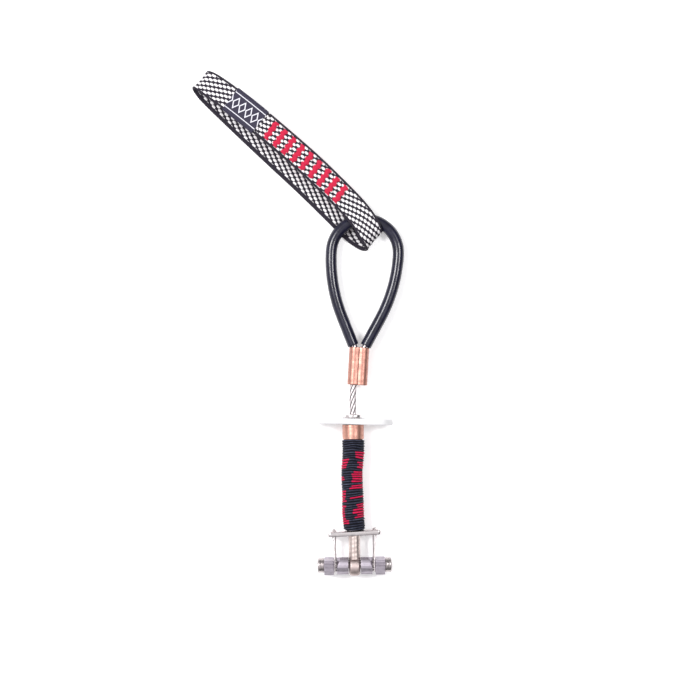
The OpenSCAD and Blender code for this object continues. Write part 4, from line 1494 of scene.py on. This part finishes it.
    def bridge(self) -> bpy.types.Object:
        """The pressed tray that the wires hang on: web, flange all round, and a slot for each wire.

        The outline is a rounded rectangle; the wall goes up the outside, over the web, down the tube's hole,
        back under the web and down the flange. The slots are then cut through the web.
        """
        outline = rounded_rectangle(self.bridge_len, self.bridge_d, self.bridge_corner, 12)
        ring, normal = directions(outline)
        hole, inner = ring * self.bridge_hole, self.sheet
        h, web = self.bridge_h, self.bridge_h - self.web
        outside = [(0.0, 0.25), (0.12, 0.1), (0.25, 0.0)]
        outside += [(h - drop, inset) for inset, drop in quarter(0.7, 6)]
        inside = [(web, inner + 0.4), (web - 0.12, inner + 0.12), (web - 0.4, inner)]
        inside += [(0.12, inner), (0, inner - 0.12)]
        rows = [(dy, outline - normal * inset) for dy, inset in outside]
        top, back = rows[-1][1], outline - normal * inside[0][1]
        rows += [(h, top * (1 - t) + hole * t) for t in (0.05, 0.35, 0.7, 0.97)]
        rows += [(h - 0.1, hole), (web + 0.1, hole)]
        rows += [(web, hole * t + back * (1 - t)) for t in (0.97, 0.7, 0.35, 0.05)]
        rows += [(dy, outline - normal * inset) for dy, inset in inside]
        turn = math.radians(self.bridge_tilt)
        parts = [stood(flat, self.bridge_y + dy, turn, turn) for dy, flat in rows]
        piece = BUILD.grid("wire_bridge", np.array(parts), (True, True))
        self.cut_slots(piece)
        return dress(piece, "trigger", "bright_steel", "steel_bright", "wire_bridge")

    def cut_slots(self, piece: bpy.types.Object) -> None:
        """Cuts the four wire slots through the bridge's web, and marks its sharp edges."""
        half = self.slot_rise / 2 + 0.1
        size = (2 * self.slot_half, 2 * half + 2 * self.slot_half, self.slot_half - 0.02)
        outline = rounded_rectangle(*size, 6)
        closed = 1e-3
        heights = ((0.8, closed), (0.8, 1.0), (4.0, 1.0), (4.0, closed))
        cutters = []
        for side, (x, opens) in product(Side, self.slots):
            middle = [side.value * x, (1.05 + half) * opens.value]
            rows = [stood(outline * scale + middle, self.bridge_y + dy, 0.0, 0.0) for dy, scale in heights]
            cutters.append(BUILD.grid("slot", np.array(rows), (False, True)))
        tool = BUILD.joined("slots", cutters)
        cut = piece.modifiers.new("slots", "BOOLEAN")
        cut.object, cut.operation, cut.solver = tool, "DIFFERENCE", "EXACT"
        made = bpy.data.meshes.new_from_object(piece.evaluated_get(bpy.context.evaluated_depsgraph_get()))
        piece.modifiers.clear()
        piece.data = made
        bpy.data.objects.remove(tool)
        made.shade_smooth()
        work = bmesh.new()
        work.from_mesh(made)
        flags = [edge.calc_face_angle(0) > math.radians(38) for edge in work.edges]
        work.free()
        sharp = made.attributes.get("sharp_edge")
        if sharp is None:
            sharp = made.attributes.new("sharp_edge", "BOOLEAN", "EDGE")
        sharp.data.foreach_set("value", flags)

    def sheath(self) -> bpy.types.Object:
        """The woven sheath: a thin tube with ribs that meet in a chevron along its middle.

        Radius = plain radius + rib height * (rounded cosine of the rib's phase) * (small cosine of the warp
        round the tube). The phase runs with the distance along the sheath and is bent by the angle from the
        seam. Each rib has red stretches on both sides of the seam.
        """
        low, high = (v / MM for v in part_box("stem_sheath"))
        y = np.linspace(low.y, high.y - 0.05, 380)
        sides = 232
        a = np.linspace(0, TURN, sides, endpoint=False)
        yy, aa = np.meshgrid(y, a, indexing="ij")
        s = (yy - y[0]) / (y[-1] - y[0])
        seam = math.pi / 2 + 0.12 + 0.10 * np.sin(s * 5.2)
        apart = np.angle(np.exp(1j * (aa - seam)))
        bent = np.sqrt(np.sin(apart / 2) ** 2 + 0.012)
        upper = smooth_step(0.35, 0.75, s)
        bow = upper * 1.5 * bent + (1 - upper) * 0.6 * np.sin(apart)
        phase = (yy + bow + 0.12 * np.sin(yy * 1.3 + 2 * aa)) / self.rib
        row = np.floor(phase).astype(int)
        row = row - row.min()
        rise = 0.5 - 0.5 * np.cos(TURN * phase)
        warp = 0.5 + 0.5 * np.cos(aa * 22 + math.pi * (row % 2))
        rng = np.random.default_rng(self.seed)
        uneven = rng.uniform(0.75, 1.1, int(row.max()) + 1)[row]
        height = 0.56 * rise**0.6 * (0.8 + 0.2 * warp) * uneven
        red = self.red_picks(row, apart)
        tuck = 0.42 * (1 - smooth_step(0.0, 0.03, s)) + 0.55 * smooth_step(0.975, 1.0, s)
        mouth = 0.22 * smooth_step(0.90, 0.965, s) * (1 - smooth_step(0.985, 1.0, s))
        mouth = mouth * (0.6 + 0.4 * np.sin(5 * aa))
        lumps = 0.10 * np.sin(2 * aa + s * 9) + 0.07 * np.sin(3 * aa - s * 14 + 1)
        r = self.sheath_r - 0.44 + height + mouth * 0.6 - tuck + lumps
        arch = np.sin(s * math.pi)
        dx = -self.sway * (np.sin(np.clip(s * 1.04, 0, 1) * math.pi) ** 1.4) - 0.12 * np.sin(s * 13) * arch
        dz = -0.2 * arch
        r = self.over_cable(r, aa, dx, dz)
        outer = np.stack([dx + r * np.cos(aa), yy, dz + r * np.sin(aa)], -1)
        bore = [dx + self.sheath_bore * np.cos(aa), yy, dz + self.sheath_bore * np.sin(aa)]
        inner = np.stack(bore, -1)[::-8]
        points = np.concatenate([outer, inner])
        blank = np.zeros(inner.shape[:2])
        # crown drives the painted highlight on the ribs' crowns and the painted shade between them
        values = {"red": np.concatenate([red, blank]), "crown": np.concatenate([rise * uneven, blank])}
        piece = BUILD.grid("stem_sheath", points, (True, True), values=values)
        return dress(piece, "trigger", "sheath", "sheath_weave", "stem_sheath")

    def over_cable(self, r: np.ndarray, a: np.ndarray, dx: np.ndarray, dz: np.ndarray) -> np.ndarray:
        """Raises the sheath's radius where its surface would fall inside the right pull cable and its cover.

        Args:
            r: radius at each point.
            a: angle of each point round the sheath.
            dx, dz: place of the sheath's middle.

        Returns:
            The radius, at least the way from the middle to the far side of a circle round the cable.
        """
        near, far = (corner.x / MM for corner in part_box("trigger_cable_right"))
        off = np.hypot((near + far) / 2 - dx, dz)
        away = a - np.arctan2(-dz, (near + far) / 2 - dx)
        reach = ((far - near) / 2 + self.cover) ** 2 - (off * np.sin(away)) ** 2
        least = np.where(np.cos(away) > 0, off * np.cos(away) + np.sqrt(np.clip(reach, 0, None)), 0)
        return np.where(reach > 0, np.maximum(r, least), r)

    def red_picks(self, row: np.ndarray, apart: np.ndarray) -> np.ndarray:
        """Where the ribs are red: ribs within each block, from an uneven start out to the side.

        Args:
            row: index of the rib at each point.
            apart: angle from the seam, in radians; the right is negative.

        Returns:
            1 where red and 0 where not.
        """
        rng = np.random.default_rng(self.seed)
        count = int(row.max()) + 1
        middle = (np.arange(count) + 0.5) / count
        red = np.zeros(row.shape)
        for side, low, high, near in self.red_blocks:
            on = (middle > low) & (middle < high) & (rng.random(count) > 0.05)
            begin = near + rng.uniform(-0.18, 0.18, count)
            across = -apart * side.value
            red = np.maximum(red, on[row] * (across > begin[row]) * (across < 1.8))
        for at in (1.9, 2.6):
            on = (rng.random(count) > 0.6) & (middle > 0.1) & (middle < 0.86)
            across = np.abs(apart)
            red = np.maximum(red, on[row] * (across > at) * (across < at + 0.5))
        return red

    def hidden(self) -> None:
        """The pull cables and their stops keep their CAD shapes."""
        dress_node("trigger_cable_left", "wire")
        dress_node("trigger_cable_right", "wire")
        dress_node("bridge_cable_stops", "turned_copper")

    def build(self) -> None:
        """Builds the trigger."""
        self.plate()
        self.washer()
        self.ferrule()
        self.bridge()
        self.sheath()
        self.hidden()


def rounded_rectangle(length: float, depth: float, corner: float, steps: int) -> np.ndarray:
    """A rounded rectangle with evenly filled sides, going round from the right-hand side."""
    t = np.linspace(0, math.pi / 2, steps)
    parts = []
    for quarter, (sx, sz) in enumerate(((1, 1), (-1, 1), (-1, -1), (1, -1))):
        middle = np.array([sx * (length / 2 - corner), sz * (depth / 2 - corner)])
        a = t + quarter * math.pi / 2
        parts.append(middle + corner * np.stack([np.cos(a), np.sin(a)], -1))
    ring = np.vstack(parts + [parts[0][:1]])
    return even_ring(ring, 0.3)


def even_ring(ring: np.ndarray, step: float) -> np.ndarray:
    """Adds points to the long sides of a closed outline, so that none is longer than step."""
    parts = []
    for start, end in zip(ring, ring[1:]):
        n = max(1, int(math.ceil(np.linalg.norm(end - start) / step)))
        parts.append(start + (end - start) * np.arange(n)[:, None] / n)
    return np.vstack(parts)


# ---------------------------------------------------------------- sling


@dataclass
class Webbing:
    """The sewn sling: webbing, label and bar tacks.

    Attributes:
        inner_face: what V is raised by on the tape's inner face.
        pale_outer, pale_inner: half the width of the pale weave on each face.
        width, thick: width and thickness of the tape.
        angle: direction of the sling, in degrees from +X.
        label: the stretch of the route under the label, counted in its points.
        plies: the two sewn stretches, outer and inner.
        tacks, tack_first, tack_step: number of bar tacks, place of the first and distance between them.
        tack_long, tack_wide: half a tack's size along the tape and across it.
        passes, thread: stitches in a tack and radius of its thread.
        seed: seed of the random draws.
        route: the part's own, in the sling's frame: along the sling, across it, height above the ground.
        steps: points made for each stretch of the route.
    """

    inner_face: float = 30.0
    pale_outer: float = 4.8
    pale_inner: float = 4.0
    width: float = 12.0
    thick: float = 1.4
    angle: float = 138.4
    label: tuple[int, int] = (21, 23)
    plies: tuple[tuple[int, int], tuple[int, int]] = ((0, 4), (24, 27))
    tacks: int = 9
    tack_first: float = 25.9
    tack_step: float = 5.35
    tack_long: float = 1.55
    tack_wide: float = 4.5
    passes: int = 27
    thread: float = 0.18
    seed: int = 5
    route: tuple[tuple[float, float, float], ...] = (
        (74, -13.8, 8.58), (60, -13.9, 8.58), (45, -13.8, 8.58), (30, -13, 8.6), (18, -12, 8.8),
        (10.5, -10.7, 8.9), (5.1, -8.9, 8.7), (1.9, -7.5, 7.1), (0.9, -6.6, 4.7), (2.3, -5.6, 2.4),
        (6.0, -4.8, 0.95), (11.4, -4.5, 0.76), (22, -5.3, 0.76), (40, -6.4, 0.76), (60, -7.1, 0.76),
        (80, -7.9, 0.76), (97, -8.8, 0.8), (105.4, -9.5, 1.9), (108.2, -10.3, 4), (105.4, -11.4, 6.2),
        (97, -12.4, 6.95), (92.5, -12.75, 7), (84, -13.2, 7), (75, -13.5, 7), (60, -13.9, 7),
        (45, -13.8, 7), (30, -13, 7), (22, -12.4, 7.05),
    )  # fmt: skip
    steps: int = 24

    def __post_init__(self) -> None:
        """Finds the sling's place: the loop's middle, at ground level."""
        stem = Stem()
        _, _, foot = stem.routes()
        lean = math.radians(stem.lean)
        middle = foot + stem.strand_x * np.array([math.cos(lean), -math.sin(lean)])
        middle = middle + stem.centre_y * np.array([math.sin(lean), math.cos(lean)])
        self.middle = stem.drooped(middle[None])[0]
        self.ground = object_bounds()[0].z / MM
        self.line = through(self.route, self.steps)

    def placed(self, points: np.ndarray) -> np.ndarray:
        """Takes points from the sling's frame into the part's."""
        a = math.radians(self.angle)
        x = self.middle[0] + points[..., 0] * math.cos(a) - points[..., 1] * math.sin(a)
        y = self.middle[1] + points[..., 0] * math.sin(a) + points[..., 1] * math.cos(a)
        return np.stack([x, y, self.ground + points[..., 2]], -1)

    def band(
        self, path: np.ndarray, section: np.ndarray, lift: Any = 0.0, wide: np.ndarray | None = None
    ) -> np.ndarray:
        """Carries a flat section along a path.

        Args:
            path: points in the sling's frame.
            section: points (n, 2): across the tape and off its outer face.
            lift: extra distance off the face at each point of the grid.
            wide: a factor for the width at each point of the path; with it both ends are rounded and closed.

        Returns:
            The grid of points in the part's frame.
        """
        beside, off = frames(path, (0, 1, 0))
        across, thickness = section[None, :, 0], section[None, :, 1] + lift
        if wide is not None:
            close = rounded_ends(1, lengths(path), 0.6)
            across, thickness = across * wide[:, None] * (0.97 + 0.03 * close), thickness * close
        grid = path[:, None] + across[..., None] * beside[:, None] - thickness[..., None] * off[:, None]
        return self.placed(grid)

    def section(self, width: float, thick: float, face: int, edge: int) -> tuple[np.ndarray, ...]:
        """The tape's section: across the outer face, round the edge, back over the inner face and round.

        Args:
            width, thick: width and thickness of the tape.
            face, edge: number of points on a face and round an edge.

        Returns:
            Its points, the V of each, and 1 where a point is on a face or 0 at the rounded edges.
        """
        half, r = width / 2, thick / 2
        x = np.linspace(-half + r, half - r, face)
        a = np.linspace(math.pi / 2, -math.pi / 2, edge + 2)[1:-1]
        right = np.stack([half - r + r * np.cos(a), r * np.sin(a)], -1)
        top = np.stack([x, np.full(face, r)], -1)
        points = np.vstack([top, right, top[::-1] * [1, -1], right[::-1] * [-1, 1]])
        across = np.where(points[:, 1] >= 0, points[:, 0], points[:, 0] + self.inner_face)
        flat = (np.abs(points[:, 0]) < half - r + 1e-6).astype(float)
        return points, np.append(across, across[0]) / CM, flat

    def weave(self, along: np.ndarray, across: np.ndarray, inner: np.ndarray) -> np.ndarray:
        """Height of the weave: a rounded bump on each of the `Lattice`'s floats, ribs along the edges."""
        inside = np.abs(across) < np.where(inner > 0.5, self.pale_inner, self.pale_outer)
        bump = np.sqrt(np.clip(1 - LATTICE.far(along, across) / 1.3, 0, 1))
        rib = 0.5 + 0.5 * np.cos(TURN * along / 0.95 + 0.9 * np.sin(TURN * across / 2.1))
        return np.where(inside, 0.14 * bump, 0.12 * rib)

    def tape(self) -> bpy.types.Object:
        """The webbing, woven in relief on both faces, with ribbed edges and heat-cut ends."""
        path = even(self.line, 0.36)
        run = lengths(path)
        points, v, flat = self.section(self.width - 0.35, self.thick - 0.2, 46, 5)
        inner = (points[:, 1] < 0).astype(float)
        along, across = np.meshgrid(run, points[:, 0], indexing="ij")
        height = self.weave(along, across, np.broadcast_to(inner, along.shape))
        sign = np.where(points[:, 1] >= 0, 1.0, -1.0)
        lift = height * sign * np.clip(flat + 0.35, 0, 1)
        frayed = 1 + 0.012 * np.cos(TURN * run / 0.95)
        for fold in (run[np.argmin(path[:, 0])], run[np.argmax(path[:, 0])]):
            frayed -= 0.08 * np.exp(-(((run - fold) / 4.0) ** 2))
        piece = BUILD.grid("sling_webbing", self.band(path, points, lift, frayed), uv=(run / CM, v))
        return dress(piece, "sling", "tape", "sling_weave", "sling_webbing")

    def label_tab(self) -> bpy.types.Object:
        """The label: a thin tape folded round the single ply, bowed a little over the upper edge."""
        lo, hi = (i * self.steps for i in self.label)
        path = even(self.line[lo : hi + 1], 0.2)
        run = lengths(path)
        outer, v, _ = self.section(self.width + 0.62, self.thick + 0.52, 60, 7)
        inner, _, _ = self.section(self.width + 0.06, self.thick + 0.06, 60, 7)
        along, across = np.meshgrid(run, outer[:, 0], indexing="ij")
        close = np.clip(np.minimum(along, run[-1] - along) / 0.25, 0, 1)
        ripple = 0.02 * np.sin(along * 1.1) * np.cos(across * 0.5) - 0.1 * (1 - close) ** 2
        weave = 0.012 * np.sin(along * 21.0) * np.sin(across * 17.0)
        sign = np.where(outer[:, 1] >= 0, 1.0, -1.0)
        out = self.band(path, outer, sign * (ripple + weave))
        back = self.band(path, inner)[::-1]
        down = np.concatenate([run - run[-1] / 2, run[::-1] + 40 - run[-1] / 2, [60]]) / CM
        piece = BUILD.grid("sling_label", np.concatenate([out, back]), (True, True), (down, v))
        return dress(piece, "sling", "label", "label_weave", "sling_label")

    def bar_tacks(self) -> bpy.types.Object:
        """The bar tacks: each a dense zigzag of thread on the outer ply, and its twin under the inner ply."""
        rng = np.random.default_rng(self.seed)
        pieces = []
        for first, last, sign in ((*self.plies[0], 1), (*self.plies[1], -1)):
            ply = self.line[first * self.steps : last * self.steps + 1][::-1]
            for k in range(self.tacks):
                u = self.tack_first + k * self.tack_step
                across = np.interp(u, ply[:, 0], ply[:, 1])
                height = np.interp(u, ply[:, 0], ply[:, 2])
                n = np.arange(self.passes * 2 + 1)
                way = np.where(n % 2 == 0, -1.0, 1.0)
                v = np.linspace(-self.tack_wide, self.tack_wide, len(n))
                jag = 0.28 * np.sign(np.sin(v * 2.2 + k)) + rng.uniform(-0.1, 0.1, len(n))
                corner_u = u + way * self.tack_long * 0.8 + jag - v * 0.07
                top = sign * (self.thick / 2 + 0.06)
                ends = np.stack([corner_u, across + v, np.full(len(n), height + top)], -1)
                middle = (ends[1:] + ends[:-1]) / 2 + np.array([0, 0, sign * 0.16])
                path = np.empty((len(n) * 2 - 1, 3))
                path[::2], path[1::2] = ends, middle
                path[::2, 2] -= sign * 0.06
                fine = through(path, 4)
                run = lengths(fine)
                rings = self.placed(tube_points(fine, self.thread * rounded_ends(8, run, 0.2)))
                pieces.append(BUILD.grid("tack", rings, uv=(run / CM, np.linspace(0, 1, 9))))
        piece = BUILD.joined("sling_bar_tacks", pieces)
        return dress(piece, "sling", "thread", "tack_thread", "sling_bar_tacks")

    def build(self) -> None:
        """Builds the sling."""
        self.tape()
        self.label_tab()
        self.bar_tacks()


# ---------------------------------------------------------------- studio


@dataclass
class Studio:
    """Floor, light and camera.

    Attributes:
        aim: the point of the part under the camera.
        roll: turn of the picture against the stem, in degrees.
        span: width of the ground that the picture shows.
        height: height of the camera.
        floor_size: side of the floor.
    """

    aim: tuple[float, float] = (-1.0, 98.3)
    roll: float = 0.66
    span: float = 320.0
    height: float = 900.0
    floor_size: float = 6000.0

    def floor(self) -> None:
        """A plain pale floor under the part, lit a little from below."""
        half = self.floor_size / 2
        line = np.linspace(-half, half, 5)
        x, y = np.meshgrid(line, line, indexing="ij")
        z = np.full_like(x, CAD_BOX[0][2] / MM - 0.02)
        floor = BUILD.grid("floor", np.stack([x, y, z], -1), (False, False))
        if floor.data.polygons[0].normal.z < 0:
            floor.data.flip_normals()
        material, g, shader = Finish("pale_floor").start()
        colour = g.mix(g.remap(g.noise(g.place(), 40), 0.3, 0.7), (0.93, 0.93, 0.935), (0.95, 0.95, 0.95))
        g.feed(shader, {"Base Color": colour, "Roughness": 0.6})
        g.feed(shader, {"Emission Color": (1, 1, 1, 1), "Emission Strength": 0.3})
        floor.data.materials.append(material)
        floor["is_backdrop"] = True

    def world(self) -> None:
        """A soft white room: brighter above and on the left, darker low on the right and behind the head."""
        world = bpy.data.worlds.new("studio")
        world.use_nodes = True
        bpy.context.scene.world = world
        g = Graph(world.node_tree)
        background = world.node_tree.nodes["Background"]
        direction = g.node("ShaderNodeTexCoord").outputs["Generated"]
        x, y, z = g.node("ShaderNodeSeparateXYZ", {0: direction}).outputs
        overhead = g.mul(g.remap(z, 0.5, 0.97), 0.52)
        left = g.mul(g.remap(x, -0.15, -0.8), 0.38)
        light = g.add(g.add(overhead, left), 0.27)
        low = g.remap(z, 0.75, 0.35)
        for way, near, far, depth in ((x, 0.45, 0.75, 0.85), (y, -0.45, -0.8, 0.75)):
            dark = g.mul(g.remap(way, near, far), low)
            light = g.mul(light, g.sub(1.0, g.mul(dark, depth)))
        g.feed(background, {"Strength": light, "Color": (1.0, 0.975, 1.0, 1)})

    def lamp(self, name: str, where: tuple[float, float, float], size: float, power: float) -> None:
        """An area lamp aimed at the part."""
        data = bpy.data.lights.new(name, "AREA")
        data.energy, data.size = power, size * MM
        lamp = bpy.data.objects.new(name, data)
        lamp.location = [c * MM for c in where]
        way = np.array([*self.aim, 0.0]) - np.asarray(where)
        lamp.rotation_mode = "QUATERNION"
        lamp.rotation_quaternion = Vector(way).to_track_quat("-Z", "Y")
        bpy.context.scene.collection.objects.link(lamp)

    def camera(self) -> None:
        """A camera that looks straight down."""
        data = bpy.data.cameras.new("camera")
        data.sensor_width = 36
        data.lens = data.sensor_width * self.height / self.span
        data.clip_start, data.clip_end = 0.05, 20
        camera = bpy.data.objects.new("camera", data)
        camera.location = (self.aim[0] * MM, self.aim[1] * MM, self.height * MM)
        camera.rotation_euler = (0, 0, -math.radians(self.roll))
        bpy.context.scene.collection.objects.link(camera)
        bpy.context.scene.camera = camera

    def build(self) -> None:
        """Builds the studio."""
        self.camera()
        self.floor()
        self.world()
        self.lamp("key", (-480, 330, 820), 300, 6.5)
        self.lamp("fill", (460, 250, 860), 220, 3.6)
        bpy.context.scene.view_settings.view_transform = "Standard"


def main() -> None:
    """Builds the studio and the device."""
    logging.basicConfig(level=logging.INFO, format="%(name)s: %(message)s")
    Studio().build()
    Head().build()
    Stem().build()
    Trigger().build()
    Webbing().build()


if __name__ == "__main__":
    main()
